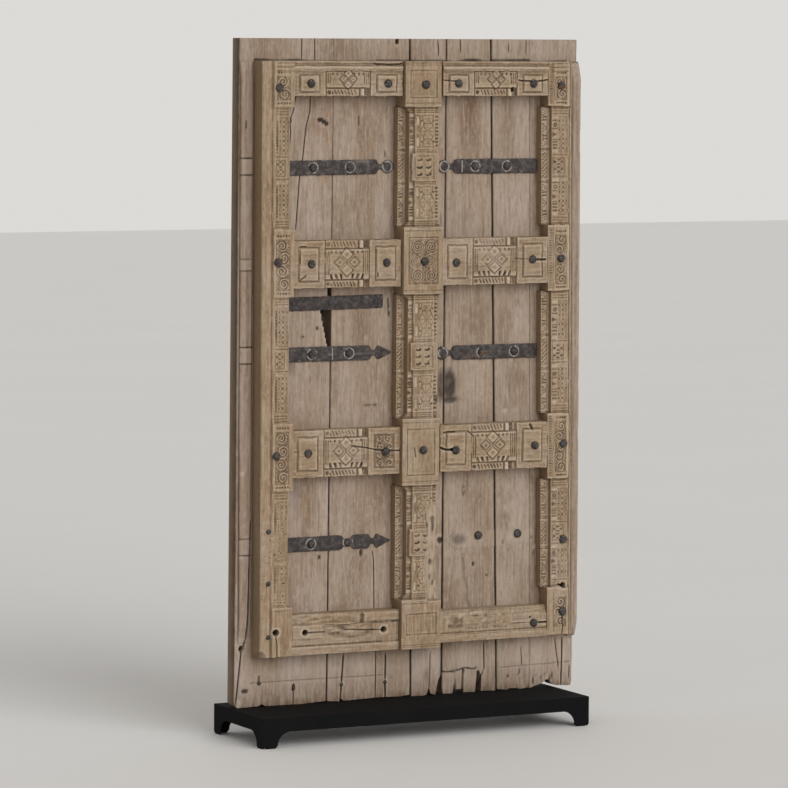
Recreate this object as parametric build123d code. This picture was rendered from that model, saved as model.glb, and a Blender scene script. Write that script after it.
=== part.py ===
from build123d import *
import math
import os

# A pair of old carved door leaves, standing as a screen on a low black steel stand.
# Each leaf is a row of upright planks with a carved frame nailed on its face: a stile, four
# rails and, on the left leaf, the centre post that covers the meeting line.
# All sizes are in millimetres.
# The leaves are drawn as they would lie on a bench: u runs across the door from its left edge,
# v runs up from the foot of the planks, w rises from the face of the planks to the viewer.
# stood_up() then sets a piece upright on the stand, with +Z up and the face towards -Y.

# Planks
DOOR_HEIGHT = 2000.0
PLANK_THICK = 48.0
PLANK_GAP = 1.6
EDGE_LEAN_LEFT = 9.0
EDGE_LEAN_RIGHT = 6.0
LEAF_GAP = 5.0
LEFT_SEAM_TOPS = (313.0, 568.0)
LEFT_SEAM_FEET = (301.0, 587.0)
RIGHT_SEAM_TOPS = (150.0, 285.0)
RIGHT_SEAM_FEET = (189.0, 305.0)

# Frame, across the door
EDGE_MARGIN_LEFT = 48.0
EDGE_MARGIN_RIGHT = 41.0
LEFT_BLOCK_WIDTH = 104.0
LEFT_STILE_WIDTH = 90.0
RIGHT_BLOCK_WIDTH = 86.0
RIGHT_STILE_WIDTH = 70.0
RIGHT_FRAME_LEAN = 15.0
RAIL_LENGTH_LEFT = 366.0
RAIL_LENGTH_RIGHT = 364.0
RAIL_JOINT = 0.8
POST_BLOCK_WIDTH = 132.0
POST_INSET_LEFT = 22.0
POST_INSET_RIGHT = 8.0
POST_BAND = 15.0
LAP_GAP = 3.0
MEETING_LEDGE = 40.0
OUTER_MOULD_LEFT = 36.0
OUTER_MOULD_RIGHT = 8.0
MOULD_GROOVE = 3.0
STRIP_WIDTH = 26.0
RIGHT_STRIP_WIDTH = 28.0

# Frame, up the door
FRAME_FOOT_LEFT = 156.0
FRAME_FOOT_RIGHT = 168.0
HEAD_MARGIN = 67.0
TOP_RAIL_HEIGHT = 104.0
HEAD_MOULD = 29.0
RAIL_OFF_BLOCK = 6.0
MIDDLE_RAIL_HEIGHT = 142.0
BOTTOM_RAIL_LEFT = 122.0
BOTTOM_RAIL_RIGHT = 96.0
FOOT_MOULD = 26.0
TOP_BLOCK_HEIGHT = 136.0
UPPER_BLOCK_MIDDLE = 1334.0
LOWER_BLOCK_MIDDLE = 755.0
MIDDLE_BLOCK_HEIGHT = 202.0
BOTTOM_BLOCK_HEIGHT = 149.0

# Frame, out from the planks
STILE_PROUD = 60.0
BLOCK_PROUD = 63.0
RIGHT_STILE_PROUD = 42.0
RIGHT_BLOCK_PROUD = 50.0
POST_BAND_PROUD = 52.0
POST_PROUD = 60.0
POST_BLOCK_PROUD = 66.0
SQUARE_PROUD = 62.0
STRIP_PROUD = 28.0
RAIL_GROUND = 44.0
RAIL_CARVED = 52.0
RAIL_LEDGE = 48.0
BOSS_PROUD = 56.0
EDGE_STRIP_LEFT = 10.0
EDGE_STRIP_RIGHT = 40.0
EDGE_SETBACK = 3.0
EDGE_STRIP_SHORT = 38.0
EDGE_STRIP_LOW = 10.0
EDGE_RINGS = (1620.0, 1328.0, 1060.0, 483.0)

# Carving
CARVE_DEPTH = 5.0
FLUTE_DEPTH = 4.0
FLUTE_WIDTH = 4.0
FLUTE_PANEL = 20.0
SQUARE_HEIGHT = 80.0
SQUARE_HOLE_RADIUS = 3.5
DOT_RADIUS = 3.0
DOT_PITCH = 12.0
BLOCK_RIM = 18.0
STEP_LINE = 3.0
STEP_PITCH = 7.0
CARVE_MARGIN = 3.0
STAR_CHIP = 0.36
STAR_LOZENGE = 0.13
NOTCH_REACH = 0.13
BAND_END = 8.0
SCROLL_SHARE = 0.9
SCROLL_EYE = 0.55
PANEL_INSET = 28.0
UNIT_MARGIN = 22.0
POST_UNIT_MARGIN = 14.0
LENS_WIDTH = 7.0
CAP_HEIGHT = 7.0
BOSS_WIDTH = 108.0
BOSS_RIM = 19.0
TOP_BOSS_RIM = 9.0
BOSS_GROOVE = 7.0
PILLOW_BEVEL = 20.0
LEDGE_HEIGHT = 21.0
LEDGE_GAP = 4.0
LEDGE_SHORT = 22.0
MIDDLE_INSET = 6.0
RING_HEIGHT = 28.0
RING_LINE = 3.0
EDGE_STRIP_SHOULDER = 0.45
TOE_CHAMFER = 17.0

# Iron
BAR_THICK = 6.0
BAR_HEIGHT = 45.0
BAR_START_GAP = 4.0
ROUND_BAR_LENGTH = 318.0
POINTED_BAR_LENGTH = 300.0
PLAIN_BAR_LENGTH = 337.0
PLAIN_BAR_HEIGHT = 42.0
RIGHT_BAR_FROM_LEDGE = 22.0
TOP_STRAP_SHARE = 0.497
MIDDLE_STRAP_SHARE = 0.531
RIGHT_MIDDLE_STRAP_SHARE = 0.509
BOTTOM_STRAP_SHARE = 0.513
PLAIN_BAR_BELOW_BLOCK = 3.0
NECK_LENGTH = 17.0
NECK_HEIGHT = 18.0
FINIAL_RADIUS = 20.0
FINIAL_TIP = 14.0
STUD_RADIUS = 13.0
STUD_RISE = 9.0
PAD_MARGIN = 0.6
STUD_SHANK = 8.0
STUD_BITE = 34.0
LOST_STUD_RADIUS = 7.0
NAIL_RADIUS = 6.0
NAIL_RISE = 3.0
NAIL_SHANK = 4.0
NAIL_BITE = 22.0
HOLE_CLEARANCE = 0.3

# Stand
STAND_HEIGHT = 90.0
STAND_LENGTH = 1103.0
STAND_DEPTH = 344.0
STAND_PAST_DOOR = 19.0
STAND_FRONT_TO_FACE = 224.0
PLATE_THICK = 6.0
APRON_THICK = 5.0
APRON_DROP = 36.0
LEG_WIDTH = 44.0
LEG_CURVE = 46.0
LEG_CURVE_RISE = 34.0
CURVE_BELLY = 0.7
TOE_RADIUS = 8.0
UPRIGHT_WIDTH = 50.0
UPRIGHT_THICK = 8.0
UPRIGHT_HEIGHT = 1300.0
UPRIGHT_INSET = 200.0
SCREW_HEAD_RADIUS = 8.0
SCREW_HEAD_RISE = 5.0
SCREW_SHANK = 6.0
SCREW_BITE = 30.0
SCREW_ROWS = (120.0, 480.0, 840.0, 1200.0)

# Places across the door that follow from the widths above
STILE_L = EDGE_MARGIN_LEFT
RAIL_L = STILE_L + LEFT_BLOCK_WIDTH
POST_L = RAIL_L + RAIL_LENGTH_LEFT
POST_R = POST_L + POST_BLOCK_WIDTH
RAIL_R = POST_R + LAP_GAP
BLOCK_R = RAIL_R + RAIL_LENGTH_RIGHT
STILE_R_END = BLOCK_R + RIGHT_BLOCK_WIDTH
STILE_R = STILE_R_END - RIGHT_STILE_WIDTH
DOOR_WIDTH = STILE_R_END + EDGE_MARGIN_RIGHT
LEFT_LEAF = POST_R + MEETING_LEDGE
RIGHT_LEAF = LEFT_LEAF + LEAF_GAP
POST_BODY_L = POST_L + POST_INSET_LEFT
POST_BODY_R = POST_R - POST_INSET_RIGHT

# Blocks up a stile or the post, as pairs of foot and head
FRAME_HEAD = DOOR_HEIGHT - HEAD_MARGIN
UPPER_BLOCK = (UPPER_BLOCK_MIDDLE - MIDDLE_BLOCK_HEIGHT / 2, UPPER_BLOCK_MIDDLE + MIDDLE_BLOCK_HEIGHT / 2)
LOWER_BLOCK = (LOWER_BLOCK_MIDDLE - MIDDLE_BLOCK_HEIGHT / 2, LOWER_BLOCK_MIDDLE + MIDDLE_BLOCK_HEIGHT / 2)
TOP_BLOCK = (FRAME_HEAD - TOP_BLOCK_HEIGHT, FRAME_HEAD)
BOTTOM_BLOCK_HEAD = FRAME_FOOT_LEFT + BOTTOM_BLOCK_HEIGHT
UPPER_RAIL_MIDDLE = UPPER_BLOCK_MIDDLE - RAIL_OFF_BLOCK
LOWER_RAIL_MIDDLE = LOWER_BLOCK_MIDDLE + RAIL_OFF_BLOCK

# Straps up the door: each at its share of the panel between two blocks
TOP_STRAP_MIDDLE = UPPER_BLOCK[1] + TOP_STRAP_SHARE * (TOP_BLOCK[0] - UPPER_BLOCK[1])
MIDDLE_STRAP_MIDDLE = LOWER_BLOCK[1] + MIDDLE_STRAP_SHARE * (UPPER_BLOCK[0] - LOWER_BLOCK[1])
RIGHT_MIDDLE_STRAP_MIDDLE = LOWER_BLOCK[1] + RIGHT_MIDDLE_STRAP_SHARE * (UPPER_BLOCK[0] - LOWER_BLOCK[1])
BOTTOM_STRAP_MIDDLE = BOTTOM_BLOCK_HEAD + BOTTOM_STRAP_SHARE * (LOWER_BLOCK[0] - BOTTOM_BLOCK_HEAD)
PLAIN_STRAP_MIDDLE = UPPER_BLOCK[0] - PLAIN_BAR_BELOW_BLOCK - PLAIN_BAR_HEIGHT / 2

# The stand and the door together are centred on X, and the stand is centred on Y
OVERALL_WIDTH = STAND_PAST_DOOR + DOOR_WIDTH + EDGE_LEAN_RIGHT
DOOR_X = -OVERALL_WIDTH / 2 + STAND_PAST_DOOR
FACE_Y = -STAND_DEPTH / 2 + STAND_FRONT_TO_FACE


def stood_up(shape):
    """Turn a piece from the bench frame to its place on the stand."""
    upright = Plane(origin=(DOOR_X, FACE_Y, STAND_HEIGHT), x_dir=(1, 0, 0), z_dir=(0, -1, 0))
    return upright.location * shape


# The right leaf's stile and strips lean: they turn about the stile's outer corner at the head
LEAN_ANGLE = math.asin(RIGHT_FRAME_LEAN / (FRAME_HEAD - FRAME_FOOT_RIGHT))


def leaned(shape):
    """Turn a piece of the right frame so that its foot stands further out."""
    corner = Pos(STILE_R_END, FRAME_HEAD, 0)
    return corner * Rot(0, 0, math.degrees(LEAN_ANGLE)) * corner.inverse() * shape


def leaned_place(u, v):
    """The same turn for one place."""
    du, dv = u - STILE_R_END, v - FRAME_HEAD
    return (STILE_R_END + du * math.cos(LEAN_ANGLE) - dv * math.sin(LEAN_ANGLE),
            FRAME_HEAD + du * math.sin(LEAN_ANGLE) + dv * math.cos(LEAN_ANGLE))


def export(name, shape):
    export_step(shape, f"parts/{name}.step")


def export_leaf_piece(name, shape):
    export(name, stood_up(shape))


def slab(u0, u1, v0, v1, w0, w1):
    """A square-edged block between two corners."""
    return Pos((u0 + u1) / 2, (v0 + v1) / 2, (w0 + w1) / 2) * Box(u1 - u0, v1 - v0, w1 - w0)


def prism(points, w0, w1):
    """An outline in u and v, raised from w0 to w1."""
    return Pos(0, 0, w0) * extrude(Polygon(*points, align=None), w1 - w0)


def peg(u, v, radius, w0, w1):
    return Pos(u, v, (w0 + w1) / 2) * Cylinder(radius, w1 - w0)


# Carving cutters: each returns a list of small solids that are cut from a face at height top

def pocket(points, top, depth=CARVE_DEPTH):
    return [prism(points, top - depth, top + 1)]


def slot(u0, u1, v0, v1, top, depth=FLUTE_DEPTH):
    return [slab(u0, u1, v0, v1, top - depth, top + 1)]


def drilled(places, radius, top, depth=CARVE_DEPTH):
    return [peg(u, v, radius, top - depth, top + 1) for u, v in places]


def rect_ring(u0, u1, v0, v1, width, top, depth=FLUTE_DEPTH):
    """A sunk line round a rectangle, as four strips that meet at mitred corners."""
    outer = [(u0, v0), (u1, v0), (u1, v1), (u0, v1)]
    inner = [(u0 + width, v0 + width), (u1 - width, v0 + width),
             (u1 - width, v1 - width), (u0 + width, v1 - width)]
    line = extrude(Polygon(*outer, align=None) - Polygon(*inner, align=None), depth + 1)
    return [Pos(0, 0, top - depth) * line]


def flutes_across(u0, u1, v0, v1, count, top):
    """Short level flutes, one above another."""
    pitch = (v1 - v0) / count
    cuts = []
    for index in range(count):
        middle = v0 + pitch * (index + 0.5)
        cuts += slot(u0, u1, middle - FLUTE_WIDTH / 2, middle + FLUTE_WIDTH / 2, top)
    return cuts


def flutes_upright(u0, u1, v0, v1, count, top):
    """Short upright flutes, side by side."""
    pitch = (u1 - u0) / count
    cuts = []
    for index in range(count):
        middle = u0 + pitch * (index + 0.5)
        cuts += slot(middle - FLUTE_WIDTH / 2, middle + FLUTE_WIDTH / 2, v0, v1, top)
    return cuts


def star(u0, u1, v0, v1, top):
    """A lozenge between four corner chips, crossed by a ridge that leaves four small lozenges."""
    um, vm = (u0 + u1) / 2, (v0 + v1) / 2
    chip_u, chip_v = (u1 - u0) * STAR_CHIP, (v1 - v0) * STAR_CHIP
    cuts = []
    for u, v, su, sv in ((u0, v0, 1, 1), (u1, v0, -1, 1), (u1, v1, -1, -1), (u0, v1, 1, -1)):
        cuts += pocket([(u, v), (u + su * chip_u, v), (u, v + sv * chip_v)], top)
    half_u, half_v = (u1 - u0) * STAR_LOZENGE, (v1 - v0) * STAR_LOZENGE
    for u, v in ((um, vm - half_v * 1.5), (um + half_u * 1.5, vm),
                 (um, vm + half_v * 1.5), (um - half_u * 1.5, vm)):
        cuts += pocket([(u - half_u, v), (u, v - half_v), (u + half_u, v), (u, v + half_v)],
                       top, FLUTE_DEPTH)
    return cuts


def side_band(u0, u1, v0, v1, notch_side, top):
    """A band with flutes below and above and a three-cornered notch at its middle."""
    vm = (v0 + v1) / 2
    reach = (v1 - v0) * NOTCH_REACH
    base, tip = (u1, u0) if notch_side < 0 else (u0, u1)
    cuts = flutes_across(u0, u1, v0 + BAND_END, vm - reach - BAND_END, 3, top)
    cuts += flutes_across(u0, u1, vm + reach + BAND_END, v1 - BAND_END, 3, top)
    cuts += pocket([(base, vm - reach), (tip, vm), (base, vm + reach)], top)
    return cuts


def foliage(u0, u1, v0, v1, top):
    """A sunk panel line round two scrolls, with a leaf chip in each corner."""
    cuts = rect_ring(u0, u1, v0, v1, STEP_LINE, top)
    um, quarter = (u0 + u1) / 2, (v1 - v0) / 4
    radius = min((u1 - u0) / 2 - STEP_LINE * 2, quarter - STEP_LINE) * SCROLL_SHARE
    for v in (v0 + quarter, v1 - quarter):
        ring = Circle(radius) - Circle(radius * SCROLL_EYE)
        cuts.append(Pos(um, v, top - FLUTE_DEPTH) * extrude(ring, FLUTE_DEPTH + 1))
    return cuts


def step_lines(u0, u1, v, count, top):
    """Level lines sunk across a band, next to a block."""
    cuts = []
    for index in range(count):
        foot = v + index * STEP_PITCH
        cuts += slot(u0, u1, foot, foot + STEP_LINE, top)
    return cuts


def zones_between(blocks):
    """The stretches of a stile or post between its blocks, as pairs of foot and head."""
    ordered = sorted(blocks)
    return [(low[1], high[0]) for low, high in zip(ordered, ordered[1:])]


def halves_around_square(foot, head):
    """The two star units and the square block between them that fill one zone."""
    middle = (foot + head) / 2
    square = (middle - SQUARE_HEIGHT / 2, middle + SQUARE_HEIGHT / 2)
    return (foot, square[0]), square, (square[1], head)


# Studs and nails: their places across and up the door, and the height of the face they sit on

HEAD_ROW = FRAME_HEAD - TOP_RAIL_HEIGHT + (TOP_RAIL_HEIGHT - HEAD_MOULD) / 2
LEFT_STILE_STUDS = [(STILE_L + 54, HEAD_ROW - 12, BLOCK_PROUD),
                    (STILE_L + 52, UPPER_BLOCK_MIDDLE + 3, BLOCK_PROUD),
                    (STILE_L + 50, LOWER_BLOCK_MIDDLE + 5, BLOCK_PROUD),
                    (STILE_L + 21, FRAME_FOOT_LEFT + 378, STILE_PROUD),
                    (STILE_L + 21, FRAME_FOOT_LEFT + 222, STILE_PROUD),
                    (STILE_L + 21, FRAME_FOOT_LEFT + 61, STILE_PROUD)]
LEFT_RAIL_STUDS = [(RAIL_L + u, v, BOSS_PROUD) for u, v in (
    (57, HEAD_ROW), (314, HEAD_ROW), (62, UPPER_RAIL_MIDDLE + 2), (313, UPPER_RAIL_MIDDLE + 2),
    (54, LOWER_RAIL_MIDDLE + 2), (315, LOWER_RAIL_MIDDLE - 1))]
POST_STUDS = [(POST_L + 71, v, POST_BLOCK_PROUD)
              for v in (HEAD_ROW - 3, UPPER_BLOCK_MIDDLE - 2, LOWER_BLOCK_MIDDLE + 6)]
RIGHT_RAIL_STUDS = [(RAIL_R + u, v, BOSS_PROUD) for u, v in (
    (52, HEAD_ROW), (310, HEAD_ROW), (49, UPPER_RAIL_MIDDLE - 2), (312, UPPER_RAIL_MIDDLE + 3),
    (52, LOWER_RAIL_MIDDLE - 6), (326, LOWER_RAIL_MIDDLE - 1))]
BOTTOM_RAIL_STUDS = [(RAIL_R + 332, FRAME_FOOT_RIGHT + 43, RAIL_LEDGE)]
UPRIGHT_STILE_STUDS = [(STILE_R_END - 40, HEAD_ROW - 5, RIGHT_BLOCK_PROUD),
                       (STILE_R_END - 40, UPPER_BLOCK_MIDDLE - 2, RIGHT_BLOCK_PROUD),
                       (STILE_R_END - 30, LOWER_BLOCK_MIDDLE + 7, RIGHT_BLOCK_PROUD),
                       (STILE_R_END - 26, FRAME_FOOT_RIGHT + 296, RIGHT_STILE_PROUD),
                       (STILE_R_END - 32, FRAME_FOOT_RIGHT + 74, RIGHT_BLOCK_PROUD)]
RIGHT_STILE_STUDS = [(*leaned_place(u, v), seat) for u, v, seat in UPRIGHT_STILE_STUDS]
LEFT_STRAP_STUDS = [(RAIL_L + u, v, BAR_THICK) for v in
                    (TOP_STRAP_MIDDLE, MIDDLE_STRAP_MIDDLE, BOTTOM_STRAP_MIDDLE) for u in (90, 214)]
RIGHT_STRAP_STUDS = [(RIGHT_LEAF + 96, TOP_STRAP_MIDDLE, BAR_THICK),
                     (RIGHT_LEAF + 205, TOP_STRAP_MIDDLE, BAR_THICK),
                     (RIGHT_LEAF + 123, RIGHT_MIDDLE_STRAP_MIDDLE, BAR_THICK),
                     (RIGHT_LEAF + 236, RIGHT_MIDDLE_STRAP_MIDDLE, BAR_THICK),
                     (RIGHT_LEAF + 120, BOTTOM_STRAP_MIDDLE, 0.0),
                     (RIGHT_LEAF + 257, BOTTOM_STRAP_MIDDLE, 0.0)]
PLAIN_BAR_NAILS = [(RAIL_L + u, PLAIN_STRAP_MIDDLE, BAR_THICK) for u in (27, 150, 302)]
FOOT_NAILS = [(74, 71, 0.0), (189, 51, 0.0), (350, 51, 0.0), (498, 50, 0.0)]

ALL_STUDS = (LEFT_STILE_STUDS + LEFT_RAIL_STUDS + POST_STUDS + RIGHT_RAIL_STUDS
             + BOTTOM_RAIL_STUDS + RIGHT_STILE_STUDS + LEFT_STRAP_STUDS + RIGHT_STRAP_STUDS)
ALL_NAILS = PLAIN_BAR_NAILS + FOOT_NAILS


def stud(u, v, seat):
    """A hand-made stud: a low domed head on a round shank that runs into the planks."""
    rim = (STUD_RADIUS ** 2 + STUD_RISE ** 2) / (2 * STUD_RISE)
    dome = Pos(0, 0, STUD_RISE - rim) * Sphere(rim)
    head = dome & Pos(0, 0, STUD_RISE / 2) * Cylinder(STUD_RADIUS, STUD_RISE)
    return Pos(u, v, seat) * head + peg(u, v, STUD_SHANK / 2, -STUD_BITE, seat)


def nail(u, v, seat):
    return (peg(u, v, NAIL_RADIUS, seat, seat + NAIL_RISE)
            + peg(u, v, NAIL_SHANK / 2, -NAIL_BITE, seat))


def shank_holes(u0, u1, v0, v1, top):
    """Holes for every stud and nail whose place lies within a piece."""
    holes = []
    for places, shank, bite in ((ALL_STUDS, STUD_SHANK, STUD_BITE), (ALL_NAILS, NAIL_SHANK, NAIL_BITE)):
        for u, v, _ in places:
            if u0 < u < u1 and v0 < v < v1:
                holes.append(peg(u, v, shank / 2 + HOLE_CLEARANCE, -bite - 1, top + 1))
    return holes


def stud_pads(places):
    """Flat round seats left under the stud heads where the face is carved."""
    return [peg(u, v, STUD_RADIUS + PAD_MARGIN, 0, seat) for u, v, seat in places]


def carved(body, cuts, pads, holes):
    """Cut the carving, put the stud seats back and drill the shank holes."""
    piece = body - cuts if cuts else body
    if pads:
        piece = piece + pads
    return piece - holes if holes else piece


# Planks

def plank_edges():
    """Left and right edge of every plank, each as its place at the head and at the foot."""
    left = [(0.0, -EDGE_LEAN_LEFT)] + list(zip(LEFT_SEAM_TOPS, LEFT_SEAM_FEET)) + [(LEFT_LEAF, LEFT_LEAF)]
    right = [(RIGHT_LEAF + a, RIGHT_LEAF + b) for a, b in zip(RIGHT_SEAM_TOPS, RIGHT_SEAM_FEET)]
    right = [(RIGHT_LEAF, RIGHT_LEAF)] + right + [(DOOR_WIDTH, DOOR_WIDTH + EDGE_LEAN_RIGHT)]
    return list(zip(left, left[1:])) + list(zip(right, right[1:]))


# Broken foot of each plank: share of its width, and how far up the wood is gone
PLANK_FEET = {
    "left_outer_plank": [(0.0, 14), (0.04, 0), (0.26, 2), (0.30, 8), (0.34, 1), (0.75, 0), (1.0, 4)],
    "left_middle_plank": [(0.0, 3), (0.15, 0), (0.16, 9), (0.20, 1), (0.62, 4), (0.90, 2), (1.0, 6)],
    "left_meeting_plank": [(0.0, 0), (0.42, 0), (0.52, 2), (0.60, 26), (0.66, 4), (0.82, 0), (0.88, 40),
                           (1.0, 62)],
    "right_meeting_plank": [(0.0, 36), (0.02, 2), (0.22, 0), (0.27, 22), (0.42, 9), (0.50, 20), (0.57, 2),
                            (1.0, 0)],
    "right_inner_plank": [(0.0, 4), (0.30, 0), (0.38, 14), (0.62, 12), (0.70, 0), (1.0, 6)],
    "right_outer_plank": [(0.0, 0), (0.30, 14), (0.42, 26), (0.52, 10), (0.60, 4), (0.97, 0), (1.0, 14)],
}

# Open splits and holes through the planks, drawn as outlines in u and v
OUTER_SEAM, MIDDLE_SEAM, RIGHT_SEAM = LEFT_SEAM_TOPS[0], LEFT_SEAM_TOPS[1], RIGHT_LEAF + RIGHT_SEAM_TOPS[0]
BELOW_PLAIN_BAR = PLAIN_STRAP_MIDDLE - PLAIN_BAR_HEIGHT / 2 + 2
PLANK_SPLITS = {
    "left_outer_plank": [[(OUTER_SEAM - 41, BELOW_PLAIN_BAR), (OUTER_SEAM + 5, BELOW_PLAIN_BAR),
                          (OUTER_SEAM + 5, BELOW_PLAIN_BAR - 128), (OUTER_SEAM - 7, BELOW_PLAIN_BAR - 128),
                          (OUTER_SEAM - 12, BELOW_PLAIN_BAR - 50)],
                         [(OUTER_SEAM - 14, UPPER_BLOCK[0] + 33), (OUTER_SEAM + 5, UPPER_BLOCK[0] + 33),
                          (OUTER_SEAM + 5, UPPER_BLOCK[0] - 3), (OUTER_SEAM - 17, UPPER_BLOCK[0] - 3)],
                         [(RAIL_L + 12, TOP_BLOCK[0] - 43), (RAIL_L + 18, TOP_BLOCK[0] - 43),
                          (RAIL_L + 18, TOP_BLOCK[0] - 36), (RAIL_L + 12, TOP_BLOCK[0] - 36)]],
    "left_middle_plank": [[(MIDDLE_SEAM - 48, DOOR_HEIGHT - 15), (MIDDLE_SEAM - 38, DOOR_HEIGHT - 15),
                           (MIDDLE_SEAM - 38, DOOR_HEIGHT - 5), (MIDDLE_SEAM - 48, DOOR_HEIGHT - 5)]],
    "left_meeting_plank": [[(LEFT_LEAF - 30, DOOR_HEIGHT + 1), (LEFT_LEAF - 27, DOOR_HEIGHT + 1),
                            (LEFT_LEAF - 23, DOOR_HEIGHT - 34)]],
    "right_inner_plank": [[(RIGHT_SEAM + 3, UPPER_BLOCK[0] + 29), (RIGHT_SEAM + 9, UPPER_BLOCK[0] + 29),
                           (RIGHT_SEAM + 6, UPPER_BLOCK[0] - 43)]],
}


def plank(name, left_edge, right_edge):
    """One upright plank: tapered sides, a broken foot, its splits and the holes for the nails."""
    half_gap = PLANK_GAP / 2
    is_first = left_edge[0] in (0.0, RIGHT_LEAF)
    is_last = right_edge[0] in (LEFT_LEAF, DOOR_WIDTH)
    top_l, foot_l = (edge + (0 if is_first else half_gap) for edge in left_edge)
    top_r, foot_r = (edge - (0 if is_last else half_gap) for edge in right_edge)
    foot = [(foot_l + share * (foot_r - foot_l), rise) for share, rise in PLANK_FEET[name]]
    outline = foot + [(top_r, DOOR_HEIGHT), (top_l, DOOR_HEIGHT)]
    body = prism(outline, -PLANK_THICK, 0)
    cuts = [prism(points, -PLANK_THICK - 1, 1) for points in PLANK_SPLITS.get(name, [])]
    cuts += shank_holes(min(top_l, foot_l), max(top_r, foot_r), 0, DOOR_HEIGHT, 0)
    cuts += screw_holes(min(top_l, foot_l), max(top_r, foot_r))
    return body - cuts


def make_planks():
    for name, (left_edge, right_edge) in zip(PLANK_FEET, plank_edges()):
        export_leaf_piece(name, plank(name, left_edge, right_edge))


# Edge mouldings on the outer margins

def edge_moulding(u0, u1, foot, proud):
    """A half-round strip with rings, its round back drawn as one flat and two bevels."""
    middle, half = (u0 + u1) / 2, (u1 - u0) / 2
    shoulder = proud * EDGE_STRIP_SHOULDER
    outline = [(u0, 0), (u1, 0), (u1, shoulder), (middle + half / 2, proud),
               (middle - half / 2, proud), (u0, shoulder)]
    strip = Pos(0, FRAME_HEAD, 0) * extrude(Plane.XZ * Polygon(*outline, align=None), FRAME_HEAD - foot)
    cuts = []
    for place in EDGE_RINGS:
        for edge in (place - RING_HEIGHT / 2, place + RING_HEIGHT / 2):
            cuts.append(slab(u0 - 1, u1 + 1, edge, edge + RING_LINE, proud - RING_LINE, proud + 1))
    return strip - cuts


def beyond_planks(top):
    """All that lies right of the planks' outer edge, to trim a leaning strip to them."""
    far = DOOR_WIDTH + RIGHT_FRAME_LEAN * 2
    return prism([(DOOR_WIDTH + EDGE_LEAN_RIGHT, 0), (far, 0), (far, DOOR_HEIGHT), (DOOR_WIDTH, DOOR_HEIGHT)],
                 -1, top + 1)


def make_edge_mouldings():
    left = edge_moulding(EDGE_SETBACK, EDGE_MARGIN_LEFT - EDGE_SETBACK, FRAME_FOOT_LEFT + EDGE_STRIP_SHORT,
                         EDGE_STRIP_LEFT)
    export_leaf_piece("left_edge_moulding", left)
    right = edge_moulding(STILE_R_END + RAIL_JOINT, DOOR_WIDTH, FRAME_FOOT_RIGHT - EDGE_STRIP_LOW,
                          EDGE_STRIP_RIGHT)
    export_leaf_piece("right_edge_moulding", leaned(right) - beyond_planks(EDGE_STRIP_RIGHT))


# Stiles

def stile_zone_cuts(u0, u1, blocks, top, lens_side):
    """Carving of the band between the blocks: two star units round a small square, with level lines."""
    lens = LENS_WIDTH + CARVE_MARGIN
    star_l = u0 + (lens if lens_side < 0 else CARVE_MARGIN)
    star_r = u1 - (lens if lens_side > 0 else CARVE_MARGIN)
    cuts = []
    for foot, head in zones_between(blocks):
        low, square, high = halves_around_square(foot, head)
        for v0, v1 in (low, high):
            cuts += step_lines(u0, u1, v0 + CARVE_MARGIN, 2, top)
            cuts += step_lines(u0, u1, v1 - CARVE_MARGIN - STEP_PITCH - STEP_LINE, 2, top)
            cuts += star(star_l, star_r, v0 + UNIT_MARGIN, v1 - UNIT_MARGIN, top)
        cuts += rect_ring(u0 + 2, u1 - 2, square[0] + CARVE_MARGIN, square[1] - CARVE_MARGIN, STEP_LINE, top)
        um, vm = (u0 + u1) / 2, (square[0] + square[1]) / 2
        du, dv = (u1 - u0) / 5, SQUARE_HEIGHT / 5
        cuts += drilled([(um + a, vm + b) for a in (-du, du) for b in (-dv, dv)], SQUARE_HOLE_RADIUS, top)
    return cuts


def stile_blocks(foot):
    return [(foot, foot + BOTTOM_BLOCK_HEIGHT), LOWER_BLOCK, UPPER_BLOCK, TOP_BLOCK]


def left_stile():
    """Plain outer moulding, a carved band and four wider blocks, cut from one timber."""
    mould_end = STILE_L + OUTER_MOULD_LEFT
    band_l, band_r = mould_end + MOULD_GROOVE * 2, STILE_L + LEFT_STILE_WIDTH - CARVE_MARGIN
    blocks = stile_blocks(FRAME_FOOT_LEFT)
    body = slab(STILE_L, STILE_L + LEFT_STILE_WIDTH, FRAME_FOOT_LEFT, FRAME_HEAD, 0, STILE_PROUD)
    body = body + [slab(mould_end + MOULD_GROOVE, RAIL_L, v0, v1, 0, BLOCK_PROUD) for v0, v1 in blocks]
    cuts = slot(mould_end, mould_end + MOULD_GROOVE, FRAME_FOOT_LEFT - 1, FRAME_HEAD + 1, STILE_PROUD)
    cuts += stile_zone_cuts(band_l, band_r, blocks, STILE_PROUD, -1)
    for v0, v1 in blocks[1:]:
        cuts += foliage(band_l, RAIL_L - BLOCK_RIM, v0 + BLOCK_RIM, v1 - PANEL_INSET, BLOCK_PROUD)
    for v0, v1 in blocks[1:3]:
        row = [(band_l + DOT_PITCH * (step + 0.5), v1 - BLOCK_RIM + CARVE_MARGIN) for step in range(5)]
        cuts += drilled(row, DOT_RADIUS, BLOCK_PROUD)
    cuts += flutes_across(band_l, RAIL_L - BLOCK_RIM, blocks[0][0] + BLOCK_RIM, blocks[0][1] - BLOCK_RIM, 5,
                          BLOCK_PROUD)
    holes = shank_holes(STILE_L, RAIL_L, FRAME_FOOT_LEFT, FRAME_HEAD, BLOCK_PROUD)
    return carved(body, cuts, stud_pads(LEFT_STILE_STUDS), holes)


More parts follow.
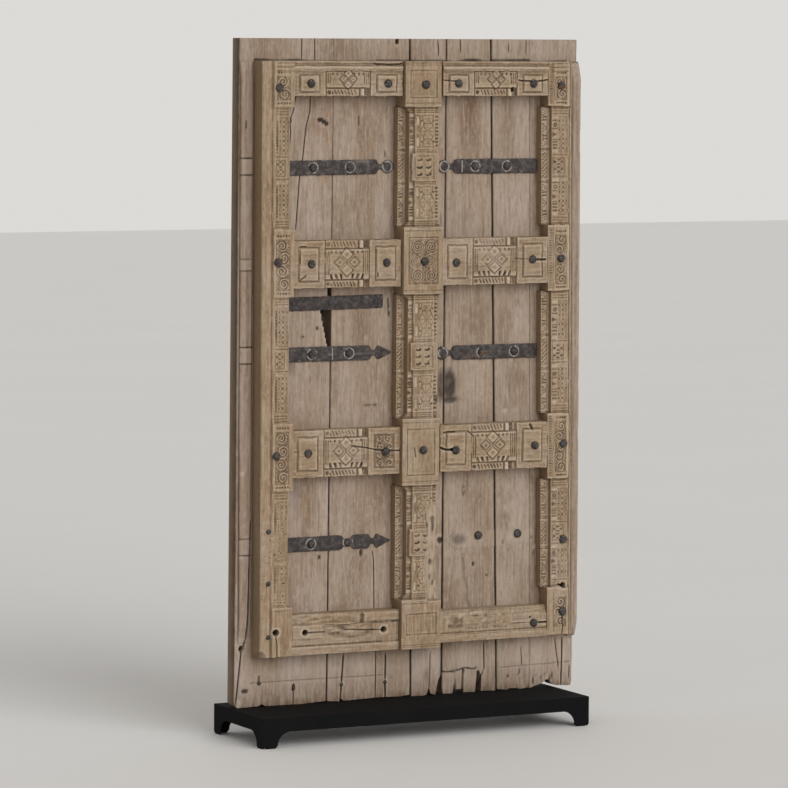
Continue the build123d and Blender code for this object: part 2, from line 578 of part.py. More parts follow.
def right_stile():
    """The narrower stile of the right leaf, with its plain moulding on the outer side."""
    mould_start = STILE_R_END - OUTER_MOULD_RIGHT
    band_l, band_r = STILE_R + CARVE_MARGIN, mould_start - MOULD_GROOVE - 1
    blocks = stile_blocks(FRAME_FOOT_RIGHT)
    face, top = RIGHT_STILE_PROUD, RIGHT_BLOCK_PROUD
    body = slab(STILE_R, STILE_R_END, FRAME_FOOT_RIGHT, FRAME_HEAD, 0, face)
    body = body + [slab(BLOCK_R, mould_start - MOULD_GROOVE, v0, v1, 0, top) for v0, v1 in blocks]
    cuts = slot(mould_start - MOULD_GROOVE, mould_start, FRAME_FOOT_RIGHT - 1, FRAME_HEAD + 1, face)
    cuts += stile_zone_cuts(band_l, band_r, blocks, face, -1)
    for v0, v1 in blocks:
        cuts += foliage(BLOCK_R + BLOCK_RIM + MOULD_GROOVE, band_r, v0 + BLOCK_RIM, v1 - BLOCK_RIM, top)
        cuts += flutes_across(BLOCK_R + CARVE_MARGIN, BLOCK_R + BLOCK_RIM - CARVE_MARGIN * 2,
                              v0 + CARVE_MARGIN, v1 - CARVE_MARGIN, 9, top)
    corner = [(STILE_R_END - TOE_CHAMFER, FRAME_FOOT_RIGHT - 1), (STILE_R_END + 1, FRAME_FOOT_RIGHT - 1),
              (STILE_R_END + 1, FRAME_FOOT_RIGHT + TOE_CHAMFER)]
    holes = [peg(u, v, STUD_SHANK / 2 + HOLE_CLEARANCE, -1, seat + 1) for u, v, seat in UPRIGHT_STILE_STUDS]
    holes.append(prism(corner, -1, top + 1))
    holes.append(peg(STILE_R_END - 27, FRAME_FOOT_RIGHT + 153, LOST_STUD_RADIUS, 0, top + 1))
    return leaned(carved(body, cuts, stud_pads(UPRIGHT_STILE_STUDS), holes))


# Centre post

def post_zone_cuts(foot, head):
    """Two star units with fluted side bands round a raised square panel."""
    centre_l, centre_r = POST_BODY_L + POST_BAND, POST_BODY_R - POST_BAND
    low, square, high = halves_around_square(foot, head)
    lens = centre_l + LENS_WIDTH
    cuts = []
    for v0, v1 in (low, high):
        unit_foot, unit_head = v0 + POST_UNIT_MARGIN, v1 - POST_UNIT_MARGIN
        cuts += star(lens + CARVE_MARGIN, centre_r - CARVE_MARGIN, unit_foot, unit_head, POST_PROUD)
        cuts += slot(lens - 1, lens + 1, unit_foot, unit_head, POST_PROUD)
        band_foot, band_head = v0 + CAP_HEIGHT + 1, v1 - CAP_HEIGHT - 1
        cuts += side_band(POST_BODY_L + 2, centre_l - 1, band_foot, band_head, -1, POST_BAND_PROUD)
        cuts += side_band(centre_r + 1, POST_BODY_R - 2, band_foot, band_head, 1, POST_BAND_PROUD)
    cuts += rect_ring(centre_l + CARVE_MARGIN, centre_r - CARVE_MARGIN, square[0] + CARVE_MARGIN * 2,
                      square[1] - CARVE_MARGIN * 2, STEP_LINE, SQUARE_PROUD)
    um, vm = (centre_l + centre_r) / 2, (square[0] + square[1]) / 2
    du, dv = (centre_r - centre_l) / 4, SQUARE_HEIGHT / 6
    cuts += drilled([(um + a, vm + b) for a in (-du, 0, du) for b in (-dv, dv)], SQUARE_HOLE_RADIUS,
                    SQUARE_PROUD)
    return cuts


def post_body(blocks):
    """The stepped timber before carving: base with side bands, raised centre, blocks and squares."""
    centre_l, centre_r = POST_BODY_L + POST_BAND, POST_BODY_R - POST_BAND
    body = slab(POST_BODY_L, POST_BODY_R, FRAME_FOOT_LEFT, FRAME_HEAD, 0, POST_BAND_PROUD)
    steps = [slab(centre_l, centre_r, FRAME_FOOT_LEFT, FRAME_HEAD, 0, POST_PROUD)]
    steps += [slab(POST_L, POST_R, v0, v1, 0, POST_BLOCK_PROUD) for v0, v1 in blocks]
    for foot, head in zones_between(blocks):
        low, square, high = halves_around_square(foot, head)
        steps.append(slab(POST_BODY_L + CAP_HEIGHT, centre_r + CAP_HEIGHT, square[0], square[1], 0,
                          SQUARE_PROUD))
        steps += [slab(POST_BODY_L, POST_BODY_R, v0, v1, 0, SQUARE_PROUD)
                  for v0, v1 in ((low[0], low[0] + CAP_HEIGHT), (high[1] - CAP_HEIGHT, high[1]))]
    return body + steps


def centre_post():
    """The post that covers the joint of the leaves, fixed to the left leaf."""
    blocks = [(FRAME_FOOT_LEFT, FRAME_FOOT_LEFT + BOTTOM_BLOCK_HEIGHT), LOWER_BLOCK, UPPER_BLOCK, TOP_BLOCK]
    cuts = []
    for foot, head in zones_between(blocks):
        cuts += post_zone_cuts(foot, head)
    for v0, v1 in blocks:
        cuts += rect_ring(POST_L + BLOCK_RIM, POST_R - BLOCK_RIM, v0 + PANEL_INSET, v1 - PANEL_INSET,
                          STEP_LINE, POST_BLOCK_PROUD)
    upper = blocks[2]
    leaf_inset = PANEL_INSET + STEP_PITCH
    cuts += foliage(POST_L + PANEL_INSET, POST_R - PANEL_INSET, upper[0] + leaf_inset,
                    upper[1] - leaf_inset, POST_BLOCK_PROUD)
    holes = shank_holes(POST_L, POST_R, FRAME_FOOT_LEFT, FRAME_HEAD, POST_BLOCK_PROUD)
    return carved(post_body(blocks), cuts, stud_pads(POST_STUDS), holes)


# Rails

def boss(u0, v0, v1, rim_v):
    """A square stepped boss: rim, sunk line and a bevelled pillow that carries the stud."""
    rim = slab(u0, u0 + BOSS_WIDTH, v0, v1, 0, RAIL_CARVED)
    pillow_u, pillow_v = BOSS_WIDTH - 2 * (BOSS_RIM + BOSS_GROOVE), v1 - v0 - 2 * (rim_v + BOSS_GROOVE)
    pillow = extrude(Rectangle(pillow_u, pillow_v), BOSS_PROUD - RAIL_GROUND, taper=PILLOW_BEVEL)
    sunk = rect_ring(u0 + BOSS_RIM, u0 + BOSS_WIDTH - BOSS_RIM, v0 + rim_v, v1 - rim_v,
                     BOSS_GROOVE, RAIL_CARVED, RAIL_CARVED - RAIL_GROUND)
    return [rim, Pos(u0 + BOSS_WIDTH / 2, (v0 + v1) / 2, RAIL_GROUND) * pillow], sunk


def rail_middle(u0, u1, v0, v1):
    """The carved middle between the bosses: fluted ledges, side flutes and a star."""
    raised_l, raised_r = u0 + MIDDLE_INSET, u1 - MIDDLE_INSET * 1.6
    ledge_r = u1 - LEDGE_SHORT
    foot, head = v0 + LEDGE_HEIGHT, v1 - LEDGE_HEIGHT
    blocks = [slab(raised_l, raised_r, foot, head, 0, RAIL_CARVED),
              slab(raised_l, ledge_r, v0, foot - LEDGE_GAP, 0, RAIL_LEDGE),
              slab(raised_l, ledge_r, head + LEDGE_GAP, v1, 0, RAIL_LEDGE)]
    cuts = flutes_upright(raised_l + 2, raised_l + FLUTE_PANEL, foot + LEDGE_GAP, head - LEDGE_GAP, 3,
                          RAIL_CARVED)
    cuts += flutes_upright(raised_r - FLUTE_PANEL, raised_r - 2, foot + LEDGE_GAP, head - LEDGE_GAP, 3,
                           RAIL_CARVED)
    cuts += star(raised_l + FLUTE_PANEL + LEDGE_GAP, raised_r - FLUTE_PANEL - LEDGE_GAP,
                 foot + CARVE_MARGIN, head - CARVE_MARGIN, RAIL_CARVED)
    for ledge in (v0, head + LEDGE_GAP):
        cuts += flutes_upright(raised_l + MIDDLE_INSET, ledge_r - MIDDLE_INSET, ledge + LEDGE_GAP,
                               ledge + LEDGE_HEIGHT - LEDGE_GAP * 2, 9, RAIL_LEDGE)
    return blocks, cuts


def rail_end(side, v0, v1):
    """Right end of a rail, and what is trimmed off it where it meets the leaning stile."""
    if side == "left":
        return POST_L - RAIL_JOINT, []
    foot, head = (leaned_place(BLOCK_R - RAIL_JOINT, v)[0] for v in (v0 - 1, v1 + 1))
    corners = [(foot, v0 - 1), (foot + 1, v0 - 1), (foot + 1, v1 + 1), (head, v1 + 1)]
    return foot, [prism(corners, -1, BOSS_PROUD + 1)]


def rail(u0, u1, v0, v1, head_mould=0.0):
    """A rail of one leaf: a plain ground, two bosses, the carved middle and, on a top rail, mouldings."""
    ground = slab(u0, u1, v0, v1, 0, RAIL_GROUND)
    carve_top = v1 - head_mould
    rim_v = TOP_BOSS_RIM if head_mould else BOSS_RIM
    left_blocks, left_cuts = boss(u0, v0, carve_top, rim_v)
    right_blocks, right_cuts = boss(u1 - BOSS_WIDTH, v0, carve_top, rim_v)
    middle_blocks, middle_cuts = rail_middle(u0 + BOSS_WIDTH, u1 - BOSS_WIDTH, v0, carve_top)
    adds = left_blocks[:1] + right_blocks[:1] + middle_blocks
    if head_mould:
        adds.append(slab(u0, u1, carve_top, carve_top + head_mould / 2, 0, BOSS_PROUD))
        adds.append(slab(u0, u1, carve_top + head_mould / 2, v1, 0, RAIL_LEDGE))
    piece = (ground + adds) - (left_cuts + right_cuts + middle_cuts)
    piece = piece + (left_blocks[1:] + right_blocks[1:])
    return piece - shank_holes(u0, u1, v0, v1, BOSS_PROUD)


def bottom_rail(u0, u1, v0, v1):
    """A worn bottom rail: a broad face between a foot moulding and a broken head moulding."""
    face_foot, face_head = v0 + FOOT_MOULD + STEP_PITCH * 2, v1 - FOOT_MOULD
    body = slab(u0, u1, v0, v1, 0, RAIL_GROUND)
    body = body + [slab(u0, u1, v0, v0 + FOOT_MOULD, 0, RAIL_CARVED),
                   slab(u0, u1, face_foot, face_head, 0, RAIL_LEDGE),
                   slab(u0 + BOSS_WIDTH / 2, u1 - BOSS_WIDTH / 2, v1 - STEP_PITCH * 2, v1, 0, RAIL_LEDGE)]
    studs = [place for place in BOTTOM_RAIL_STUDS if u0 < place[0] < u1]
    piece = body + stud_pads(studs) if studs else body
    cuts = shank_holes(u0, u1, v0, v1, RAIL_LEDGE)
    if not studs:
        middle = (face_foot + face_head) / 2
        cuts += [peg(u, middle, LOST_STUD_RADIUS, 0, RAIL_LEDGE + 1)
                 for u in (u0 + BOSS_WIDTH / 2, u1 - BOSS_WIDTH / 2)]
    return piece - cuts


def make_rails():
    half = MIDDLE_RAIL_HEIGHT / 2
    rows = (("top", FRAME_HEAD - TOP_RAIL_HEIGHT, FRAME_HEAD),
            ("upper", UPPER_RAIL_MIDDLE - half, UPPER_RAIL_MIDDLE + half),
            ("lower", LOWER_RAIL_MIDDLE - half, LOWER_RAIL_MIDDLE + half))
    for side, start, foot, height in (
            ("left", RAIL_L + RAIL_JOINT, FRAME_FOOT_LEFT, BOTTOM_RAIL_LEFT),
            ("right", RAIL_R, FRAME_FOOT_RIGHT, BOTTOM_RAIL_RIGHT)):
        for name, v0, v1 in rows + (("bottom", foot, foot + height),):
            end, trims = rail_end(side, v0, v1)
            if name == "bottom":
                piece = bottom_rail(start, end, v0, v1)
            else:
                piece = rail(start, end, v0, v1, HEAD_MOULD if name == "top" else 0.0)
            export_leaf_piece(f"{side}_{name}_rail", piece - trims if trims else piece)


# Inner strips, one beside each panel

def inner_strip(u0, u1, v0, v1):
    """A low carved strip in three lengths, each with flutes round a notch."""
    body = slab(u0, u1, v0, v1, 0, STRIP_PROUD)
    third = (v1 - v0) / 3
    cuts = []
    for index in range(3):
        foot = v0 + index * third
        cuts += side_band(u0 + 1, u1 - CAP_HEIGHT, foot + CARVE_MARGIN, foot + third - CARVE_MARGIN, -1,
                          STRIP_PROUD)
        if index:
            cuts += slot(u0 - 1, u1 + 1, foot - STEP_LINE / 2, foot + STEP_LINE / 2, STRIP_PROUD)
    return body - cuts


def make_inner_strips():
    gap = RAIL_JOINT
    left_zones = zones_between(stile_blocks(FRAME_FOOT_LEFT))
    right_zones = zones_between(stile_blocks(FRAME_FOOT_RIGHT))
    for name, left_zone, right_zone in zip(("lower", "middle", "upper"), left_zones, right_zones):
        left = inner_strip(POST_BODY_L - STRIP_WIDTH, POST_BODY_L, left_zone[0] + gap, left_zone[1] - gap)
        export_leaf_piece(f"left_{name}_inner_strip", left)
        right = inner_strip(STILE_R - RIGHT_STRIP_WIDTH, STILE_R, right_zone[0] + gap, right_zone[1] - gap)
        export_leaf_piece(f"right_{name}_inner_strip", leaned(right))


# Iron straps

def strap(fixed_end, free_end, v, pointed):
    """A flat bar that narrows to a neck and ends in a round or pointed finial."""
    way = 1 if free_end > fixed_end else -1
    centre = free_end + way * (NECK_LENGTH + FINIAL_RADIUS * 0.8)
    bar_l, bar_r = sorted((fixed_end, free_end))
    neck_l, neck_r = sorted((free_end - way, centre))
    extras = [slab(neck_l, neck_r, v - NECK_HEIGHT / 2, v + NECK_HEIGHT / 2, 0, BAR_THICK),
              peg(centre, v, FINIAL_RADIUS, 0, BAR_THICK)]
    if pointed:
        tip = centre + way * (FINIAL_RADIUS + FINIAL_TIP)
        side = FINIAL_RADIUS * 0.8
        extras.append(prism([(centre, v - side), (tip, v), (centre, v + side)], 0, BAR_THICK))
    foot, head = v - BAR_HEIGHT / 2, v + BAR_HEIGHT / 2
    body = slab(bar_l, bar_r, foot, head, 0, BAR_THICK) + extras
    return body - shank_holes(bar_l, bar_r, foot, head, BAR_THICK)


def plain_strap(start):
    """A square-ended bar held by three nails, a later repair."""
    end = start + PLAIN_BAR_LENGTH
    foot, head = PLAIN_STRAP_MIDDLE - PLAIN_BAR_HEIGHT / 2, PLAIN_STRAP_MIDDLE + PLAIN_BAR_HEIGHT / 2
    return slab(start, end, foot, head, 0, BAR_THICK) - shank_holes(start, end, foot, head, BAR_THICK)


def make_straps():
    left_start = STILE_L + LEFT_STILE_WIDTH + BAR_START_GAP
    round_end, pointed_end = left_start + ROUND_BAR_LENGTH, left_start + POINTED_BAR_LENGTH
    right_end = RIGHT_LEAF + RIGHT_BAR_FROM_LEDGE
    export_leaf_piece("left_top_strap", strap(left_start, round_end, TOP_STRAP_MIDDLE, False))
    export_leaf_piece("left_plain_strap", plain_strap(left_start))
    export_leaf_piece("left_middle_strap", strap(left_start, pointed_end, MIDDLE_STRAP_MIDDLE, True))
    export_leaf_piece("left_bottom_strap", strap(left_start, pointed_end, BOTTOM_STRAP_MIDDLE, True))
    for name, v in (("right_top_strap", TOP_STRAP_MIDDLE), ("right_middle_strap", RIGHT_MIDDLE_STRAP_MIDDLE)):
        right_start = leaned_place(STILE_R - RIGHT_STRIP_WIDTH - BAR_START_GAP, v)[0]
        export_leaf_piece(name, strap(right_start, right_end, v, False))


# Studs and nails in groups

def make_studs():
    groups = {
        "left_frame_studs": LEFT_STILE_STUDS + LEFT_RAIL_STUDS,
        "right_frame_studs": RIGHT_STILE_STUDS + RIGHT_RAIL_STUDS + BOTTOM_RAIL_STUDS,
        "centre_post_studs": POST_STUDS,
        "left_strap_studs": LEFT_STRAP_STUDS,
        "right_strap_studs": RIGHT_STRAP_STUDS,
    }
    for name, places in groups.items():
        export_leaf_piece(name, Compound([stud(*place) for place in places]))
    export_leaf_piece("plain_strap_nails", Compound([nail(*place) for place in PLAIN_BAR_NAILS]))
    export_leaf_piece("plank_foot_nails", Compound([nail(*place) for place in FOOT_NAILS]))


# Stand

def arched_outline(length, height):
    """A plate with a leg at each end: the underside sweeps from each leg up to a straight apron."""
    half = length / 2
    under = height - APRON_DROP
    leg_in = half - LEG_WIDTH
    apron_end = leg_in - LEG_CURVE
    curve_foot = under - LEG_CURVE_RISE
    bend = (apron_end + LEG_CURVE * CURVE_BELLY, curve_foot + LEG_CURVE_RISE * CURVE_BELLY)
    leg_points = [(half, height), (half, TOE_RADIUS), (half - TOE_RADIUS, 0),
                  (leg_in + TOE_RADIUS, 0), (leg_in, TOE_RADIUS), (leg_in, curve_foot)]
    right_leg = Polyline(*leg_points)
    left_leg = Polyline(*[(-x, y) for x, y in reversed(leg_points)])
    right_sweep = ThreePointArc((leg_in, curve_foot), bend, (apron_end, under))
    left_sweep = ThreePointArc((-apron_end, under), (-bend[0], bend[1]), (-leg_in, curve_foot))
    underside = Line((apron_end, under), (-apron_end, under))
    top = Line((-half, height), (half, height))
    return make_face([right_leg, right_sweep, underside, left_sweep, left_leg, top])


def apron(y_front):
    """Front or rear apron with its legs, between the end plates."""
    face = arched_outline(STAND_LENGTH - 2 * APRON_THICK, STAND_HEIGHT - PLATE_THICK)
    middle_x = -OVERALL_WIDTH / 2 + STAND_LENGTH / 2
    return Pos(middle_x, y_front + APRON_THICK, 0) * extrude(Plane.XZ * face, APRON_THICK)


def end_plate(x_low):
    """One end of the stand, across its whole depth."""
    face = arched_outline(STAND_DEPTH, STAND_HEIGHT - PLATE_THICK)
    return Pos(x_low, 0, 0) * extrude(Plane.YZ * face, APRON_THICK)


def upright_places():
    """Middle of each rear upright across the door, one behind each leaf."""
    return (UPRIGHT_INSET, DOOR_WIDTH - UPRIGHT_INSET)


def screw_holes(u0, u1):
    """Holes in the back of a plank for the screws of an upright behind it."""
    return [peg(u, v, SCREW_SHANK / 2 + HOLE_CLEARANCE, -PLANK_THICK - 1, -PLANK_THICK + SCREW_BITE + 1)
            for u in upright_places() for v in SCREW_ROWS if u0 < u < u1]


def rear_upright(u):
    back = -PLANK_THICK
    bar = slab(u - UPRIGHT_WIDTH / 2, u + UPRIGHT_WIDTH / 2, 0, UPRIGHT_HEIGHT, back - UPRIGHT_THICK, back)
    holes = [peg(u, v, SCREW_SHANK / 2 + HOLE_CLEARANCE, back - UPRIGHT_THICK - 1, back + 1)
             for v in SCREW_ROWS]
    return bar - holes


def rear_screw(u, v):
    outer = -PLANK_THICK - UPRIGHT_THICK
    return (peg(u, v, SCREW_HEAD_RADIUS, outer - SCREW_HEAD_RISE, outer)
            + peg(u, v, SCREW_SHANK / 2, outer, -PLANK_THICK + SCREW_BITE))


def make_stand():
    left = -OVERALL_WIDTH / 2
    plate = Pos(left + STAND_LENGTH / 2, 0, STAND_HEIGHT - PLATE_THICK / 2) * Box(
        STAND_LENGTH, STAND_DEPTH, PLATE_THICK)
    export("stand_top_plate", plate)
    export("stand_front_apron", apron(-STAND_DEPTH / 2))
    export("stand_rear_apron", apron(STAND_DEPTH / 2 - APRON_THICK))
    export("stand_left_end", end_plate(left))
    export("stand_right_end", end_plate(left + STAND_LENGTH - APRON_THICK))
    for name, u in zip(("left_rear_upright", "right_rear_upright"), upright_places()):
        export_leaf_piece(name, rear_upright(u))
    screws = [rear_screw(u, v) for u in upright_places() for v in SCREW_ROWS]
    export_leaf_piece("rear_upright_screws", Compound(screws))


os.makedirs("parts", exist_ok=True)
make_planks()
make_edge_mouldings()
export_leaf_piece("left_stile", left_stile())
export_leaf_piece("right_stile", right_stile())
export_leaf_piece("centre_post", centre_post())
make_rails()
make_inner_strips()
make_straps()
make_studs()
make_stand()
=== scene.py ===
"""Looks of a pair of old carved door leaves that stand as a screen on a low black stand.

Every wooden piece is one closed mesh. Its face is a height w worked out for each point of a grid
in u and v, and walls run from the edge of that grid down to the back. u runs across the door from
its left edge, v up from the foot of the planks and w out of their face, all in millimetres.
"""
import logging
import math
from collections.abc import Sequence
from dataclasses import dataclass, field
from enum import Enum

import bpy
import numpy as np
from mathutils import Matrix, Vector


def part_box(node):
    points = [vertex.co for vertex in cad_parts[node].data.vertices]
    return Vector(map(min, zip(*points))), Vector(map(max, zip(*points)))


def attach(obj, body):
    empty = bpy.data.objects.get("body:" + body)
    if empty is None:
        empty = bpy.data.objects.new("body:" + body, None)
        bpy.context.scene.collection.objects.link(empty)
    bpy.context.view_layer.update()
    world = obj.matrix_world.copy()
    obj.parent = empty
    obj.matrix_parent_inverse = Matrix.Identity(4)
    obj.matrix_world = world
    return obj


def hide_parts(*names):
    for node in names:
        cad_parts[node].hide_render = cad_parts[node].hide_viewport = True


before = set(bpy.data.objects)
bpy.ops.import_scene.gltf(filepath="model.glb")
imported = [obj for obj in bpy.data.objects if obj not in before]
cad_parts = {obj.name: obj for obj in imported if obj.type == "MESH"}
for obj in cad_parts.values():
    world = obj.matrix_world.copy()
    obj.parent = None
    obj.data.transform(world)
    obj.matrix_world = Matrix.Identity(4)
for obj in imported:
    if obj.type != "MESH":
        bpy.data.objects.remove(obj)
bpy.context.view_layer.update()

log = logging.getLogger("carved_door")

MM = 0.001
STILE_FROM_EDGE = 48.0
STEP_ROW = 0.5
SHARP_ANGLE = math.radians(42)

Point = tuple[float, float]
Colour = tuple[float, float, float]

# The right leaf's frame leans: how far right it moves for each mm below the frame's head
FRAME_HEAD = 1933.0
RIGHT_LEAN = 0.0085

# Places up the door that several pieces share, as pairs of foot and head
TOP_BLOCK = (1797.0, 1933.0)
UPPER_BLOCK = (1233.0, 1435.0)
LOWER_BLOCK = (654.0, 856.0)
LEFT_FOOT_BLOCK = (156.0, 305.0)
RIGHT_FOOT_BLOCK = (168.0, 317.0)
LEFT_BLOCKS = (LEFT_FOOT_BLOCK, LOWER_BLOCK, UPPER_BLOCK, TOP_BLOCK)
RIGHT_BLOCKS = (RIGHT_FOOT_BLOCK, LOWER_BLOCK, UPPER_BLOCK, TOP_BLOCK)

# A foot and a head beyond both ends of the door, for cuts that run its whole height
PAST_ENDS = (-10.0, 2100.0)


def zones_between(blocks: Sequence[Point]) -> list[Point]:
    """Find the stretches between the blocks.

    Args:
        blocks: Pairs of foot and head, from the lowest block up.

    Returns:
        Pairs of foot and head of the stretches between them.
    """
    return [(low[1], high[0]) for low, high in zip(blocks, blocks[1:])]


@dataclass(frozen=True)
class Bench:
    """Where the door stands in the frame: its left edge, its face and its foot, in mm."""

    left: float
    face: float
    foot: float

    @classmethod
    def from_frame(cls) -> "Bench":
        """Read the door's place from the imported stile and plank.

        Returns:
            The door's place on its stand.
        """
        stile_low, stile_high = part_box("left_stile")
        plank_low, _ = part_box("left_middle_plank")
        return cls(stile_low.x / MM - STILE_FROM_EDGE, stile_high.y / MM, plank_low.z / MM)

    def place(self, u: np.ndarray, v: np.ndarray, w: np.ndarray) -> np.ndarray:
        """Turn places on the door into points of the frame: x = left + u, y = face - w, z = foot + v.

        Args:
            u: Places across the door, in mm.
            v: Places up the door, in mm.
            w: Heights out of the planks' face, in mm.

        Returns:
            An array of points in metres.
        """
        return np.stack((self.left + u, self.face - w, self.foot + v), axis=-1) * MM


class Weather:
    """Seeded smooth noise: a table of random values, eased between its points and repeated."""

    SIZE = 64

    def __init__(self, seed: int) -> None:
        """Fill the table from one seed."""
        self.table = np.random.default_rng(seed).random((self.SIZE, self.SIZE))

    def at(self, u: np.ndarray, v: np.ndarray, size_u: float, size_v: float) -> np.ndarray:
        """Read the noise: the four nearest table values, blended with the weight t * t * (3 - 2 t).

        Args:
            u: Places across.
            v: Places up.
            size_u: Width of one lump of the noise.
            size_v: Height of one lump of the noise.

        Returns:
            Values from -1 to 1, in the shape of u and v.
        """
        x, y = u / size_u, v / size_v
        column, row = np.floor(x).astype(int), np.floor(y).astype(int)
        share_x, share_y = x - column, y - row
        share_x = share_x * share_x * (3 - 2 * share_x)
        share_y = share_y * share_y * (3 - 2 * share_y)
        column, next_column = column % self.SIZE, (column + 1) % self.SIZE
        row, next_row = row % self.SIZE, (row + 1) % self.SIZE
        low = self.table[column, row] * (1 - share_x) + self.table[next_column, row] * share_x
        high = self.table[column, next_row] * (1 - share_x) + self.table[next_column, next_row] * share_x
        return (low * (1 - share_y) + high * share_y) * 2 - 1


def blurred(values: np.ndarray, reach: int) -> np.ndarray:
    """Average each value with its neighbours within a square, through running sums on both axes.

    Args:
        values: A grid of numbers.
        reach: How many neighbours on each side count.

    Returns:
        The averaged grid, in the same shape.
    """
    width = 2 * reach + 1
    for axis in (0, 1):
        pad = [(0, 0), (0, 0)]
        pad[axis] = (reach + 1, reach)
        sums = np.cumsum(np.pad(values, pad, mode="edge"), axis=axis)
        count = values.shape[axis]
        ahead = np.take(sums, np.arange(width, width + count), axis=axis)
        behind = np.take(sums, np.arange(count), axis=axis)
        values = (ahead - behind) / width
    return values


@dataclass(frozen=True)
class Span:
    """One level of a face's outline, and the height of the face from there up to the next."""

    v: float
    left: float
    right: float
    height: float = 0.0


class Face:
    """The face of one piece as a grid: places u and v, height w, its grime with painted shade, and its pale
    and warm marks.
    """

    def __init__(self, spans: Sequence[Span], step_u: float, step_v: float) -> None:
        """Lay the grid: rows between the spans, and columns at equal shares of each row's width.

        Args:
            spans: The outline from the foot up. Two spans at one level make a step.
            step_u: Wanted distance between columns.
            step_v: Wanted distance between rows.
        """
        rows: list[np.ndarray] = []
        for low, high in zip(spans, spans[1:]):
            if high.v <= low.v:
                continue
            share = np.linspace(0, 1, max(1, math.ceil((high.v - low.v) / step_v)) + 1)[:, None]
            start = np.array([low.v + (STEP_ROW if rows else 0), low.left, low.right, low.height])
            end = np.array([high.v, high.left, high.right, low.height])
            rows.append(start + share * (end - start))
        table = np.concatenate(rows)
        widest = float((table[:, 2] - table[:, 1]).max())
        share = np.linspace(0, 1, math.ceil(widest / step_u) + 1)
        self.u = table[:, 1:2] + share * (table[:, 2:3] - table[:, 1:2])
        self.v = np.repeat(table[:, 0:1], len(share), axis=1)
        self.w = np.repeat(table[:, 3:4], len(share), axis=1)
        # The darkness channel holds real grime and stains, and painted shade in cuts, cracks and holes.
        self.dirt, self.pale, self.warm, self.off_u, self.off_v = np.zeros((5, *self.w.shape))

    def wobble(self, weather: Weather, reach: float = 0.9) -> None:
        """Shift where cuts fall by a smooth noise, as a hand-held chisel does."""
        self.off_u = reach * weather.at(self.u, self.v, 13, 17)
        self.off_v = reach * weather.at(self.v, self.u, 15, 12)

    def window(self, u0: float, u1: float, v0: float, v1: float) -> "Window":
        """Open a window on the part of the face between two corners."""
        return Window(self, u0, u1, v0, v1)

    def all(self) -> "Window":
        """Open a window on the whole face."""
        return Window(self, self.u.min(), self.u.max(), self.v.min(), self.v.max())

    def age(self, weather: Weather, rough: float = 0.35, worn: float = 0.5) -> None:
        """Wear the face: soften its edges, rub some places flatter and roughen it along the grain.

        The softened height is the average over the nearest neighbours. Where a broad noise is
        high the face moves towards a wider average, as if rubbed.

        Args:
            weather: The noise to use.
            rough: Height of the roughness in mm.
            worn: How far the rubbed places move, from 0 to 1.
        """
        soft = blurred(self.w, 1)
        rubbed = np.clip(weather.at(self.u, self.v, 47, 83) * 2.2 - 0.5, 0, 1) * worn
        self.w += (soft - self.w) * 0.35
        self.w += (blurred(self.w, 2) - self.w) * rubbed
        self.w += rough * weather.at(self.u, self.v, 4.1, 23) + rough * weather.at(self.v, self.u, 11, 9)
        chips = np.clip(weather.at(self.u + 300, self.v, 5.3, 6.1) * 3 - 1.9, 0, 1)
        self.w -= chips * np.clip(self.w - blurred(self.w, 4), 0, 1) * 1.6
        self.dirt *= np.clip(0.62 + 0.85 * weather.at(self.u, self.v + 500, 9, 12), 0, 1)
        self.pale *= np.clip(0.8 + 0.6 * weather.at(self.u + 700, self.v, 8, 9), 0, 1)
        self.warm += weather.at(self.u, self.v + 900, 60, 110) * 0.45

    def relief(self, reach: int, depth: float) -> np.ndarray:
        """Say how far each point stands above its surroundings, from -1 to 1."""
        return np.clip((self.w - blurred(self.w, reach)) / depth, -1, 1)


